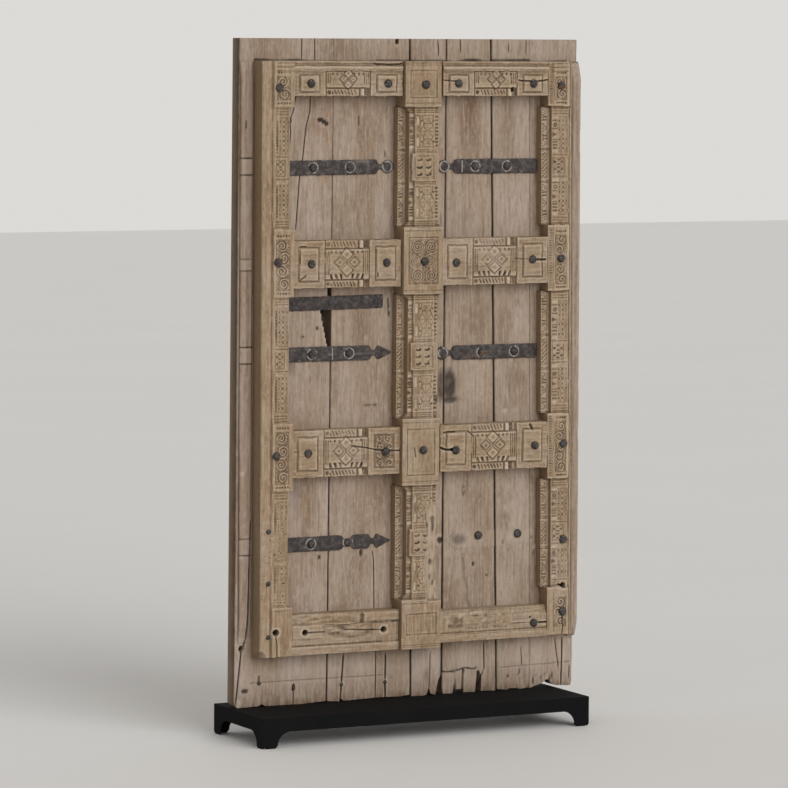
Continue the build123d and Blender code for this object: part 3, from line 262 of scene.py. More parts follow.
class Window:
    """A rectangle of a face: its own u and v, and views on its height, its grime with painted shade, and its
    pale and warm marks.
    """

    def __init__(self, face: Face, u0: float, u1: float, v0: float, v1: float) -> None:
        """Find the rows and columns that the rectangle touches.

        Args:
            face: The face.
            u0: Left edge.
            u1: Right edge.
            v0: Foot.
            v1: Head.
        """
        rows = np.flatnonzero((face.v.max(1) >= v0) & (face.v.min(1) <= v1))
        columns = np.flatnonzero((face.u[rows].max(0) >= u0) & (face.u[rows].min(0) <= u1))
        view = np.s_[rows[0]:rows[-1] + 1, columns[0]:columns[-1] + 1]
        self.u, self.v, self.w = (face.u + face.off_u)[view], (face.v + face.off_v)[view], face.w[view]
        self.dirt, self.pale, self.warm = face.dirt[view], face.pale[view], face.warm[view]
        self.corners = (u0, u1, v0, v1)

    def box(self, u0: float, u1: float, v0: float, v1: float, soft: float = 1.0) -> np.ndarray:
        """Cover a rectangle: the least distance to its four sides, over the width of its slope."""
        inside = np.minimum(np.minimum(self.u - u0, u1 - self.u), np.minimum(self.v - v0, v1 - self.v))
        return np.clip(inside / soft + 0.5, 0, 1)

    def whole(self, inset: float = 0.0, soft: float = 1.0) -> np.ndarray:
        """Cover the window's own rectangle, drawn in by an inset."""
        u0, u1, v0, v1 = self.corners
        return self.box(u0 + inset, u1 - inset, v0 + inset, v1 - inset, soft)

    def line_round(self, inset: float, width: float) -> np.ndarray:
        """Cover a line that runs round the rectangle."""
        return self.whole(inset) * (1 - self.whole(inset + width))

    def outline(self, u0: float, u1: float, v0: float, v1: float, width: float = 2.0) -> np.ndarray:
        """Cover a line that runs round just inside a rectangle."""
        return self.box(u0, u1, v0, v1) * (1 - self.box(u0 + width, u1 - width, v0 + width, v1 - width))

    def disc(self, u: float, v: float, radius: float, soft: float = 1.0) -> np.ndarray:
        """Cover a disc: its radius less the distance from its middle."""
        return np.clip((radius - np.hypot(self.u - u, self.v - v)) / soft + 0.5, 0, 1)

    def ring(self, u: float, v: float, radius: float, width: float) -> np.ndarray:
        """Cover a ring of a given middle radius."""
        return np.clip(1 - np.abs(np.hypot(self.u - u, self.v - v) - radius) / width, 0, 1)

    def oval(self, u: float, v: float, half_u: float, half_v: float, soft: float = 0.3) -> np.ndarray:
        """Cover an oval: 1 less the distance from its middle measured in its own half widths."""
        return np.clip((1 - np.hypot((self.u - u) / half_u, (self.v - v) / half_v)) / soft, 0, 1)

    def lozenge(self, u: float, v: float, half_u: float, half_v: float, soft: float = 2.0) -> np.ndarray:
        """Cover a lozenge: 1 less the sum of the shares across and up, over its slope."""
        share = 1 - np.abs(self.u - u) / half_u - np.abs(self.v - v) / half_v
        return np.clip(share * min(half_u, half_v) / soft, 0, 1)

    def stroke(self, points: Sequence[Point], width: float) -> np.ndarray:
        """Cover a line through points: 1 on the line, falling to 0 at half its width.

        Args:
            points: The points that the line runs through.
            width: Its full width.

        Returns:
            The cover, from 0 to 1.
        """
        nearest = np.full_like(self.u, np.inf)
        for (u0, v0), (u1, v1) in zip(points, points[1:]):
            run_u, run_v = u1 - u0, v1 - v0
            length = max(run_u * run_u + run_v * run_v, 1e-6)
            share = np.clip(((self.u - u0) * run_u + (self.v - v0) * run_v) / length, 0, 1)
            nearest = np.minimum(nearest, np.hypot(self.u - u0 - share * run_u, self.v - v0 - share * run_v))
        return np.clip(1 - nearest * 2 / width, 0, 1)

    def within(self, points: Sequence[Point]) -> np.ndarray:
        """Measure how far inside a polygon without hollows each point lies, in mm.

        Args:
            points: Its corners, against the clock.

        Returns:
            The least distance to its sides, below 0 outside.
        """
        inside = np.full_like(self.u, np.inf)
        for (u0, v0), (u1, v1) in zip(points, list(points[1:]) + [points[0]]):
            run_u, run_v = u1 - u0, v1 - v0
            side = (run_u * (self.v - v0) - run_v * (self.u - u0)) / math.hypot(run_u, run_v)
            inside = np.minimum(inside, side)
        return inside

    def sink(self, cover: np.ndarray, depth: float, dirt: float = 0.35) -> None:
        """Cut a cover down by a depth and darken it: grime, and painted shade in the cut."""
        self.w -= cover * depth
        np.maximum(self.dirt, cover * dirt, out=self.dirt)

    def level(self, cover: np.ndarray, height: float) -> None:
        """Bring the covered part to a height."""
        self.w += (height - self.w) * cover

    def paint_dark(self, cover: np.ndarray) -> None:
        """Darken the covered part, for stains and for painted shade."""
        np.maximum(self.dirt, cover, out=self.dirt)

    def bleach(self, cover: np.ndarray) -> None:
        """Pale the covered part."""
        np.maximum(self.pale, cover, out=self.pale)

    def tint(self, cover: np.ndarray, share: float) -> None:
        """Turn the covered part browner, or paler and pinker for a share below 0."""
        self.warm += cover * share

    def chip(self, points: Sequence[Point], depth: float, dirt: float = 0.5) -> None:
        """Cut a chip whose sides slope at one angle to its deepest line."""
        self.sink(np.clip(self.within(points) / depth, 0, 1), depth, dirt)

    def crack(self, points: Sequence[Point], width: float, depth: float, dirt: float = 1.0) -> None:
        """Open a crack along a line, its walls darkened with grime and painted shade."""
        self.sink(self.stroke(points, width), depth, dirt)


class Carver:
    """The traditional chip carving of the frame, cut into one face. DEPTH is that of its main cuts."""

    DEPTH = 3.6

    def __init__(self, face: Face) -> None:
        """Take the face to carve."""
        self.face = face

    def flutes(self, u0: float, u1: float, v0: float, v1: float, count: int, upright: bool,
               depth: float, dirt: float) -> None:
        """Cut a row of rounded flutes: a sine wave along the row, its upper half kept as ridges.

        Args:
            u0: Left end of the row.
            u1: Right end of the row.
            v0: Foot of the row.
            v1: Head of the row.
            count: How many flutes.
            upright: Whether each flute stands up, so that the row runs across.
            depth: Depth of a flute.
            dirt: How dark a flute is painted: grime and painted shade.
        """
        window = self.face.window(u0, u1, v0, v1)
        share = (window.u - u0) / (u1 - u0) if upright else (window.v - v0) / (v1 - v0)
        wave = np.clip(np.sin(2 * math.pi * (share * count - 0.25)) * 1.5 + 0.2, 0, 1)
        window.sink(wave * window.whole(0, 1.5), depth, dirt)

    def star(self, u0: float, u1: float, v0: float, v1: float) -> None:
        """Carve a sunburst: a six-sided field with eight rays, and a lined wedge above and below it.

        The field is where max(|y| / b, |y| / 2b + |x| / a) is under 1. A ray's groove is where
        r |sin(4 angle)| / 4, the distance to the nearest of eight lines, is small.

        Args:
            u0: Left edge.
            u1: Right edge.
            v0: Foot.
            v1: Head.
        """
        window = self.face.window(u0, u1, v0, v1)
        um, vm, half_u, half_v = (u0 + u1) / 2, (v0 + v1) / 2, (u1 - u0) / 2, (v1 - v0) / 2
        x, y = window.u - um, window.v - vm
        reach = half_v * 0.5
        field = 1 - np.maximum(np.abs(y) / reach, np.abs(y) / (2 * reach) + np.abs(x) / (half_u - 1.5))
        window.sink(window.line_round(0.5, 2.0), 2.2, 0.2)
        window.sink(np.clip(1.2 - np.abs(field) * reach / 1.7, 0, 1), 2.6, 0.3)
        off = np.hypot(x, y) * np.abs(np.sin(4 * np.arctan2(y * half_u, x * reach * 1.15))) / 4
        window.sink(np.clip(1.3 - off / 1.1, 0, 1) * np.clip(field * 9, 0, 1), 2.2, 0.2)
        for way in (-1, 1):
            for side in (-1, 1):
                near = (um + side * half_u * 0.5, vm + way * reach)
                far = (um + side * half_u * 0.72, vm + way * (half_v - 3))
                window.crack([near, far], 3.6, 2.6, 0.3)
                window.sink(window.disc(um + side * half_u * 0.76, vm + way * half_v * 0.64, 2.8), 3.4, 0.85)
            for share in (0.62, 0.78):
                v = vm + way * half_v * share
                window.sink(window.box(um - half_u * 0.36, um + half_u * 0.36, v - 1.2, v + 1.2), 1.8, 0.25)
            window.sink(window.lozenge(um, vm + way * half_v * 0.7, 3.6, 4.5, 2), 2.2, 0.45)

    def braid(self, u0: float, u1: float, v0: float, v1: float, turns: float) -> None:
        """Carve two crossing waves: grooves where |x| is near a |cos(pi turns share)|, and eyes between.

        Args:
            u0: Left edge.
            u1: Right edge.
            v0: Foot.
            v1: Head.
            turns: How many eyes the waves make.
        """
        window = self.face.window(u0, u1, v0, v1)
        um, half_u = (u0 + u1) / 2, (u1 - u0) / 2
        inner = window.whole(3, 1.5)
        share = (window.v - v0) / (v1 - v0)
        wave = np.cos(math.pi * turns * share)
        for way in (-1, 1):
            for reach, depth in ((half_u - 3.5, 2.4), (half_u - 9.5, 1.5)):
                groove = np.clip(1.25 - np.abs(window.u - um - way * reach * wave) / 1.5, 0, 1)
                window.sink(groove * inner, depth, 0.25)
        window.sink(window.line_round(0.5, 1.8), 2.0, 0.2)
        for index in range(round(turns) + 1):
            v = v0 + (v1 - v0) * index / turns
            window.sink(window.oval(um, v, 3.4, 4.6) * inner, 2.6, 0.5)
            for side in (-1, 1):
                at = v0 + (v1 - v0) * (index + 0.5) / turns
                window.sink(window.lozenge(um + side * half_u * 0.72, at, 3.5, 6.5, 2) * inner, 3.2, 0.7)

    def foliage(self, u0: float, u1: float, v0: float, v1: float, pitch: float = 8.5) -> None:
        """Carve a panel of scrolls inside a sunk line.

        Round each scroll's middle the ridge follows cos(2 pi (r / pitch - angle / 2 pi)), which
        winds outwards by one pitch a turn. Neighbours wind opposite ways, and leaf veins that
        slant with u + v fill what is left between them.

        Args:
            u0: Left edge.
            u1: Right edge.
            v0: Foot.
            v1: Head.
            pitch: Distance between the turns of a scroll.
        """
        window = self.face.window(u0, u1, v0, v1)
        window.sink(window.line_round(0.0, 2.4), 3.0, 0.4)
        width, height = u1 - u0, v1 - v0
        columns = max(1, round(width / 42))
        cell = width / columns
        count = max(1, round(height / cell * 1.25))
        ridge = 0.5 + 0.5 * np.cos(2 * math.pi * (window.u + window.v * 0.8) / (pitch * 0.85))
        for index in range(count * columns):
            column, row = index % columns, index // columns
            um = u0 + cell * (column + (0.42 if row % 2 else 0.58))
            vm = v0 + height * (row + 0.5) / count
            x, y = window.u - um, window.v - vm
            radius = np.hypot(x, y)
            turn = np.arctan2(y, x) / (2 * math.pi) * (1 if (row + column) % 2 else -1)
            scroll = 0.5 + 0.5 * np.cos(2 * math.pi * (radius / pitch - turn))
            near = np.clip((min(cell, height / count) * 0.54 - radius) / 2, 0, 1)
            ridge = ridge * (1 - near) + scroll * near
        cut = np.clip((0.62 - ridge) * 2.4, 0, 1) * window.whole(4, 1.5)
        window.sink(cut, self.DEPTH, 0.7)

    def rings(self, u0: float, u1: float, v0: float, count: int, pitch: float, depth: float = 2.4) -> None:
        """Cut level lines one above another across a band.

        Args:
            u0: Left end of the lines.
            u1: Their right end.
            v0: Height of the lowest line.
            count: How many.
            pitch: Distance between two of them.
            depth: Their depth.
        """
        for index in range(count):
            v = v0 + pitch * index
            window = self.face.window(u0, u1, v - 3, v + 3)
            window.sink(window.box(u0, u1, v - 1.4, v + 1.4), depth, 0.35)

    def dots(self, u0: float, u1: float, v: float, count: int, radius: float = 2.6) -> None:
        """Drill a level row of dark dots.

        Args:
            u0: Place of the first dot.
            u1: Place of the last dot.
            v: Height of the row.
            count: How many.
            radius: Radius of a dot.
        """
        window = self.face.window(u0 - 4, u1 + 4, v - 5, v + 5)
        for u in np.linspace(u0, u1, count):
            window.sink(window.disc(float(u), v, radius), self.DEPTH, 0.9)

    def crossed_block(self, u0: float, u1: float, v0: float, v1: float) -> None:
        """Carve a small block: a frame line, and dark chips that leave a saltire standing.

        Args:
            u0: Left edge.
            u1: Right edge.
            v0: Foot.
            v1: Head.
        """
        window = self.face.window(u0, u1, v0, v1)
        window.sink(window.line_round(0, 2), 2.5, 0.4)
        left, right, middle_v, gap = u0 + 3.5, u1 - 3.5, (v0 + v1) / 2, 1.3
        um = (left + right) / 2
        for foot, head in ((v0 + 3.5, middle_v - 1), (middle_v + 1, v1 - 3.5)):
            vm = (foot + head) / 2
            for chip in ([(left, foot + 2), (um - gap, vm), (left, head - 2)],
                         [(right, head - 2), (um + gap, vm), (right, foot + 2)],
                         [(left + 2, foot), (right - 2, foot), (um, vm - gap)],
                         [(right - 2, head), (left + 2, head), (um, vm + gap)]):
                window.chip(chip, 4.0, 0.95)

    def side_band(self, u0: float, u1: float, v0: float, v1: float, bold: float) -> None:
        """Carve a narrow band: pale caps, a roundel, a notch between two lines, and level flutes.

        Args:
            u0: Left edge.
            u1: Right edge.
            v0: Foot.
            v1: Head.
            bold: Darkness of its cuts, from 0 to 1.
        """
        window = self.face.window(u0, u1, v0, v1)
        height, um = v1 - v0, (u0 + u1) / 2
        notch = v0 + height * 0.5
        window.chip([(u0 - 2, notch + 11), (u1, notch), (u0 - 2, notch - 11)][::-1], 5.0, bold)
        self.flutes(u0 + 1, u1 - 1, v0 + height * 0.08, v0 + height * 0.34, 3, False, 3.0, bold)
        window.sink(window.disc(um, v0 + height * 0.76, 6.5), 3.0, bold * 0.8)
        window.level(window.disc(um, v0 + height * 0.76, 3.4, 2), float(window.w.max()))
        for share in (0.36, 0.66, 0.88):
            window.sink(window.box(u0, u1, v0 + height * share - 1.4, v0 + height * share + 1.4), 2.6, bold)
        for v in (v0 + 4, v1 - 4):
            window.bleach(window.box(u0, u1, v - 4, v + 4) * 0.75)


def write_mesh(name: str, points: np.ndarray, faces: Sequence[np.ndarray]) -> bpy.types.Object:
    """Put worked-out points and faces into a new object at the origin.

    Args:
        name: Name of the piece.
        points: Its points in metres, one row each.
        faces: Arrays of faces, each array with as many columns as its faces have corners.

    Returns:
        The new object, smooth between its sharp edges.
    """
    mesh = bpy.data.meshes.new(name)
    mesh.vertices.add(len(points))
    mesh.vertices.foreach_set("co", points.astype(np.float32).ravel())
    sizes = np.concatenate([np.full(len(group), group.shape[1]) for group in faces])
    corners = np.concatenate([group.ravel() for group in faces]).astype(np.int32)
    mesh.loops.add(len(corners))
    mesh.loops.foreach_set("vertex_index", corners)
    mesh.polygons.add(len(sizes))
    mesh.polygons.foreach_set("loop_start", np.concatenate(([0], np.cumsum(sizes)[:-1])).astype(np.int32))
    mesh.update(calc_edges=True)
    mesh.shade_smooth()
    mesh.set_sharp_from_angle(angle=SHARP_ANGLE)
    piece = bpy.data.objects.new(name, mesh)
    bpy.context.collection.objects.link(piece)
    return piece


def add_attribute(piece: bpy.types.Object, name: str, values: np.ndarray) -> None:
    """Store one number for each point of a piece, for its material to read."""
    layer = piece.data.attributes.new(name, "FLOAT", "POINT")
    layer.data.foreach_set("value", values.astype(np.float32).ravel())


class Lie(Enum):
    """Which way a face's own v runs on the door."""

    UPRIGHT = "up"
    TO_RIGHT = "right"
    TO_LEFT = "left"


def closed_piece(name: str, bench: Bench, face: Face, back: float, lie: Lie = Lie.UPRIGHT,
                 reach: int = 4) -> bpy.types.Object:
    """Close a face into a solid piece with walls and a back.

    The top is a grid of four-cornered faces. The edge of the grid, taken round against the clock,
    is copied down to the back, a wall joins the two, and one face closes the back.

    Args:
        name: Name of the piece.
        bench: Where the door stands.
        face: The worked-out face.
        back: Height of its back.
        lie: Which way the face's v runs on the door.
        reach: How many neighbours its relief is measured against.

    Returns:
        The new object, with its attributes.
    """
    rows, columns = face.w.shape
    index = np.arange(rows * columns).reshape(rows, columns)
    top = np.stack((index[:-1, :-1], index[:-1, 1:], index[1:, 1:], index[1:, :-1]), -1).reshape(-1, 4)
    loop = np.concatenate((index[0], index[1:, -1], index[-1, -2::-1], index[-2:0:-1, 0]))
    below = np.arange(len(loop)) + rows * columns
    wall = np.stack((loop, below, np.roll(below, -1), np.roll(loop, -1)), -1)
    u, v = face.u, face.v
    if lie is Lie.TO_RIGHT:
        u, v = face.v, -face.u
    if lie is Lie.TO_LEFT:
        u, v = -face.v, face.u
    points = bench.place(u, v, face.w).reshape(-1, 3)
    low = bench.place(u.ravel()[loop], v.ravel()[loop], np.full(len(loop), back))
    piece = write_mesh(name, np.concatenate((points, low)), [top, wall, below[None, ::-1]])
    relief = face.relief(reach, 2.6).ravel()
    for label, values in (("relief", relief), ("dirt", face.dirt.ravel()), ("pale", face.pale.ravel()),
                          ("warm", face.warm.ravel())):
        add_attribute(piece, label, np.concatenate((values, np.zeros(len(loop)))))
    return piece


class Link:
    """A shader socket that adds its Math nodes when it is used in a sum."""

    def __init__(self, shop: "Shop", socket: bpy.types.NodeSocket) -> None:
        """Keep the socket and the node tree that it belongs to."""
        self.shop = shop
        self.socket = socket

    def _sum(self, operation: str, first: "Link | float", second: "Link | float" = 0.0) -> "Link":
        """Add one Math node and return its result."""
        return self.shop.node("ShaderNodeMath", {"operation": operation}, {0: first, 1: second})

    def __add__(self, other: "Link | float") -> "Link":
        """Add."""
        return self._sum("ADD", self, other)

    __radd__ = __add__

    def __sub__(self, other: "Link | float") -> "Link":
        """Take away."""
        return self._sum("SUBTRACT", self, other)

    def __rsub__(self, other: "Link | float") -> "Link":
        """Take this away from a number."""
        return self._sum("SUBTRACT", other, self)

    def __mul__(self, other: "Link | float") -> "Link":
        """Multiply."""
        return self._sum("MULTIPLY", self, other)

    __rmul__ = __mul__

    def clamped(self) -> "Link":
        """Keep the value between 0 and 1."""
        return self.shop.node("ShaderNodeMath", {"operation": "ADD", "use_clamp": True}, {0: self, 1: 0.0})

    def size(self) -> "Link":
        """Drop the sign."""
        return self._sum("ABSOLUTE", self)

    def above(self, start: float, width: float) -> "Link":
        """Rise from 0 at the start to 1 a width later."""
        return ((self - start) * (1 / width)).clamped()


class Shop:
    """The node tree of one material, with one method that adds any node."""

    def __init__(self, tree: bpy.types.NodeTree) -> None:
        """Empty the tree."""
        self.tree = tree
        tree.nodes.clear()

    def node(self, kind: str, settings: dict[str, object], inputs: dict[int | str, object],
             output: int | str = 0) -> Link:
        """Add a node, set its settings first, then its sockets.

        Args:
            kind: Type of the node.
            settings: Values of its own properties.
            inputs: Numbers, colours or links for its sockets.
            output: Which of its results to return.

        Returns:
            A link to that result.
        """
        made = self.tree.nodes.new(kind)
        for key, value in settings.items():
            setattr(made, key, value)
        for key, value in inputs.items():
            if isinstance(value, Link):
                self.tree.links.new(value.socket, made.inputs[key])
            else:
                made.inputs[key].default_value = value
        if not len(made.outputs):
            return Link(self, made.inputs[0])
        return Link(self, made.outputs[output])

    def mixed(self, first: "Link | tuple", second: "Link | tuple", share: "Link | float") -> Link:
        """Mix two colours by a share."""
        return self.node("ShaderNodeMix", {"data_type": "RGBA"}, {0: share, 6: first, 7: second}, 2)

    def noise(self, place: Link, scale: float, detail: float = 3.0, roughness: float = 0.55) -> Link:
        """Add a noise over a place."""
        return self.node("ShaderNodeTexNoise", {}, {"Vector": place, "Scale": scale, "Detail": detail,
                                                   "Roughness": roughness})

    def attribute(self, name: str) -> Link:
        """Read one of the piece's stored numbers."""
        return self.node("ShaderNodeAttribute", {"attribute_name": name}, {}, "Fac")

    def stretched(self, place: Link, scale: Colour) -> Link:
        """Scale a place on each axis."""
        return self.node("ShaderNodeMapping", {}, {"Vector": place, "Scale": scale})

    def finish(self, inputs: dict[int | str, object], bump: Link, distance: float, strength: float) -> None:
        """Close the material with a surface shader and a bump.

        Args:
            inputs: Sockets of the surface shader.
            bump: Height of the fine relief, from 0 to 1.
            distance: Its full height in metres.
            strength: How much of it shows.
        """
        normal = self.node("ShaderNodeBump", {}, {"Height": bump, "Distance": distance, "Strength": strength})
        surface = self.node("ShaderNodeBsdfPrincipled", {}, {**inputs, "Normal": normal})
        self.node("ShaderNodeOutputMaterial", {}, {"Surface": surface})


def new_shop(name: str) -> tuple[bpy.types.Material, Shop]:
    """Make an empty material and its shop.

    Args:
        name: Its name.

    Returns:
        The material and the shop of its nodes.
    """
    material = bpy.data.materials.new(name)
    material.use_nodes = True
    return material, Shop(material.node_tree)


def rgba(colour: Colour) -> tuple[float, float, float, float]:
    """Give a colour its fourth number."""
    return (*colour, 1.0)


class Grain(Enum):
    """Which way the grain of a piece runs, as the stretch of its noise on x, y and z."""

    UPRIGHT = (1.0, 1.0, 0.07)
    LEVEL = (0.07, 1.0, 1.0)


@dataclass(frozen=True)
class WoodFinish:
    """Old bare wood: two tones in broad clouds, grain lines, painted shade in the hollows and a painted
    highlight on raised edges, grime with painted shade, pale wear, and painted light on walls that face
    sideways.
    """

    name: str
    warm: Colour
    grey: Colour
    # The hollow colour is painted shade for the hollows; the edge colour is pale wood for grain and wear and
    # also a painted highlight on raised edges.
    hollow_shade: Colour
    edge: Colour
    grain: Grain = Grain.UPRIGHT
    hollow_shade_share: float = 0.6
    ridge_highlight_share: float = 0.6
    streak_share: float = 0.42
    brown: Colour = (0.17, 0.1, 0.058)
    pink: Colour = (0.37, 0.29, 0.24)
    # The side colour is painted light: a warm ochre for walls that face left or right, for the light that
    # falls on them.
    side: Colour = (0.235, 0.155, 0.088)
    # Near black, laid over real grime and stains, and as painted shade in cuts, cracks and holes.
    dark_dirt_and_shade: Colour = (0.022, 0.017, 0.013)

    def material(self) -> bpy.types.Material:
        """Build the material.

        Returns:
            The finished material, which reads the attributes relief, dirt, pale, warm and board.
        """
        made, shop = new_shop(self.name)
        place = shop.node("ShaderNodeTexCoord", {}, {}, "Object")
        board = shop.attribute("board")
        shift = shop.node("ShaderNodeCombineXYZ", {}, {0: board * 3.1, 1: board * 5.3, 2: board * 7.7})
        place = shop.node("ShaderNodeVectorMath", {"operation": "ADD"}, {0: place, 1: shift})
        along = shop.stretched(place, self.grain.value)
        cloud = shop.noise(shop.stretched(place, tuple(math.sqrt(part) for part in self.grain.value)), 9.0)
        patch = shop.noise(place, 26.0, 4.0)
        short = shop.stretched(place, tuple(part ** 0.3 for part in self.grain.value))
        mottle = shop.noise(short, 95.0, 5.0, 0.7)
        streak = shop.noise(along, 150.0, 4.0, 0.6)
        fibre = shop.noise(along, 620.0, 3.0, 0.65)
        grit = shop.noise(place, 900.0, 2.0)
        relief = shop.attribute("relief")
        tone = (cloud.above(0.36, 0.3) * 0.65 + board * 0.35).clamped()
        colour = shop.mixed(rgba(self.warm), rgba(self.grey), tone)
        warm = shop.attribute("warm") + (patch - 0.5) * 1.1
        colour = shop.mixed(colour, rgba(self.brown), (warm * 0.8).clamped())
        colour = shop.mixed(colour, rgba(self.pink), (warm * -0.9).clamped())
        dark = rgba(tuple(part * 0.42 for part in self.warm))
        colour = shop.mixed(colour, dark, streak.above(0.5, 0.2) * self.streak_share)
        colour = shop.mixed(colour, rgba(self.edge), (0.47 - streak).above(0.0, 0.16) * 0.4)
        colour = shop.mixed(colour, dark, mottle.above(0.54, 0.2) * 0.5)
        colour = shop.mixed(colour, rgba(self.edge), (0.47 - mottle).above(0.0, 0.14) * 0.45)
        colour = shop.mixed(colour, dark, (fibre.above(0.5, 0.2) * 0.3).clamped())
        # Painted shade in the hollows and a painted highlight on raised edges, both read from the relief.
        colour = shop.mixed(colour, rgba(self.hollow_shade), ((0.0 - relief) * 1.5).clamped() * self.hollow_shade_share)
        colour = shop.mixed(colour, rgba(self.edge), (relief * 1.2).clamped() * self.ridge_highlight_share)
        # Painted light: walls that face left or right take the warm side colour, chosen by the sideways part
        # of their normal.
        normal = shop.node("ShaderNodeTexCoord", {}, {}, "Normal")
        facing = shop.node("ShaderNodeSeparateXYZ", {}, {0: normal}, 0)
        colour = shop.mixed(colour, rgba(self.side), facing.size().above(0.8, 0.15) * 0.6)
        colour = shop.mixed(colour, rgba(self.edge), (shop.attribute("pale") * (grit * 0.6 + 0.6)).clamped())
        # Near black over the darkness channel: grime and stains, and painted shade in cuts, cracks and holes.
        dark_dirt_and_shade = (shop.attribute("dirt") * (patch * 0.9 + 0.5)).clamped()
        colour = shop.mixed(colour, rgba(self.dark_dirt_and_shade), dark_dirt_and_shade * 0.93)
        bump = streak * 0.35 + fibre * 0.25 + grit * 0.15 - mottle * 0.5 + 0.25
        shop.finish({"Base Color": colour, "Roughness": 0.78 + fibre * 0.14, "Specular IOR Level": 0.28},
                    bump, 0.0012, 0.55)
        return made


@dataclass(frozen=True)
class IronFinish:
    """Dark wrought iron: pits, a little rust, rubbed pale marks, and pale flecks that are painted glints on
    the stud heads.
    """

    name: str
    dark: Colour
    worn: Colour
    rust: Colour = (0.16, 0.065, 0.03)
    rust_from: float = 0.66
    fleck: Colour = (0.42, 0.38, 0.34)

    def material(self) -> bpy.types.Material:
        """Build the material.

        Returns:
            The finished material, which reads the attribute pale.
        """
        made, shop = new_shop(self.name)
        place = shop.node("ShaderNodeTexCoord", {}, {}, "Object")
        cloud = shop.noise(place, 60.0, 6.0, 0.75)
        pits = shop.noise(place, 320.0, 3.0, 0.6)
        rust = shop.noise(place, 21.0, 5.0, 0.7).above(self.rust_from, 0.08)
        colour = shop.mixed(rgba(self.dark), rgba(self.worn), cloud.above(0.45, 0.22))
        pit = rgba(tuple(part * 0.35 for part in self.dark))
        colour = shop.mixed(colour, pit, pits.above(0.55, 0.12) * 0.6)
        colour = shop.mixed(colour, rgba(self.rust), rust * 0.7)
        flecks = (shop.attribute("pale") * (pits * 1.3 + 0.2)).clamped()
        colour = shop.mixed(colour, rgba(self.fleck), flecks)
        bump = pits * 0.7 + cloud * 0.3
        shop.finish({"Base Color": colour, "Roughness": 0.55 + pits * 0.35 + rust * 0.2, "Metallic": 0.15},
                    bump, 0.0012, 0.7)
        return made


@dataclass(frozen=True)
class PaintFinish:
    """Matt black paint on steel: an even coat with a faint orange-peel and rubbed patches."""

    name: str
    coat: Colour
    rubbed: Colour
    roughness: float = 0.75

    def material(self) -> bpy.types.Material:
        """Build the material.

        Returns:
            The finished material.
        """
        made, shop = new_shop(self.name)
        place = shop.node("ShaderNodeTexCoord", {}, {}, "Object")
        cloud = shop.noise(place, 9.0, 5.0, 0.6)
        peel = shop.noise(place, 700.0, 2.0)
        colour = shop.mixed(rgba(self.coat), rgba(self.rubbed), cloud.above(0.45, 0.3))
        shop.finish({"Base Color": colour, "Roughness": self.roughness + cloud * 0.15,
                     "Specular IOR Level": 0.1}, peel, 0.0004, 0.35)
        return made


@dataclass(frozen=True)
class SteelFinish:
    """Plain screw steel with fine turning marks and dull spots."""

    name: str
    bright: Colour
    dull: Colour

    def material(self) -> bpy.types.Material:
        """Build the material.

        Returns:
            The finished material.
        """
        made, shop = new_shop(self.name)
        place = shop.node("ShaderNodeTexCoord", {}, {}, "Object")
        spots = shop.noise(place, 240.0, 4.0)
        marks = shop.noise(shop.stretched(place, (1.0, 8.0, 1.0)), 500.0, 2.0)
        colour = shop.mixed(rgba(self.bright), rgba(self.dull), spots.above(0.48, 0.2))
        shop.finish({"Base Color": colour, "Roughness": 0.3 + spots * 0.3, "Metallic": 1.0},
                    marks, 0.0003, 0.4)
        return made


class Finishes:
    """All the finishes of the door and its stand, built once."""

    def __init__(self) -> None:
        """Build each material."""
        self.plank = WoodFinish("old_planks", (0.27, 0.185, 0.125), (0.33, 0.262, 0.2), (0.09, 0.06, 0.04),
                                (0.44, 0.36, 0.285), hollow_shade_share=0.7, ridge_highlight_share=0.3).material()
        self.margin = WoodFinish("margin_boards", (0.26, 0.175, 0.12), (0.31, 0.235, 0.175),
                                 (0.08, 0.052, 0.033), (0.42, 0.34, 0.27),
                                 hollow_shade_share=0.75, ridge_highlight_share=0.4).material()
        self.carved = WoodFinish("carved_upright_wood", (0.275, 0.185, 0.11), (0.335, 0.25, 0.167),
                                 (0.1, 0.06, 0.034), (0.475, 0.375, 0.27)).material()
        self.rail = WoodFinish("carved_level_wood", (0.275, 0.185, 0.11), (0.34, 0.258, 0.178),
                               (0.1, 0.06, 0.034), (0.475, 0.38, 0.278), grain=Grain.LEVEL).material()
        self.strap = IronFinish("strap_iron", (0.024, 0.0175, 0.0155), (0.098, 0.083, 0.077),
                                rust_from=0.6).material()
        self.stud = IronFinish("stud_iron", (0.02, 0.0155, 0.014), (0.06, 0.05, 0.046),
                               rust_from=0.58).material()
        self.paint = PaintFinish("stand_black_paint", (0.0035, 0.0035, 0.0037),
                                 (0.006, 0.006, 0.0062)).material()
        self.steel = SteelFinish("screw_steel", (0.4, 0.4, 0.41), (0.22, 0.21, 0.2)).material()


def dress(piece: bpy.types.Object, material: bpy.types.Material, slot: str, board: float,
          *nodes: str) -> bpy.types.Object:
    """Give a piece its material, its board number and its body, and hide the nodes that it stands for.

    Args:
        piece: The new piece.
        material: Its finish.
        slot: The record's slot that the finish belongs to; not used.
        board: A number from 0 to 1 that moves the grain and sets the tone.
        nodes: The CAD nodes that it replaces.

    Returns:
        The same piece.
    """
    piece.data.materials.append(material)
    add_attribute(piece, "board", np.full(len(piece.data.vertices), board))
    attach(piece, "root")
    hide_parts(*nodes)
    low = np.array(piece.bound_box).min(0) / MM
    high = np.array(piece.bound_box).max(0) / MM
    log.info("%s: %d faces, %s to %s mm", piece.name, len(piece.data.polygons), low.round(1), high.round(1))
    return piece


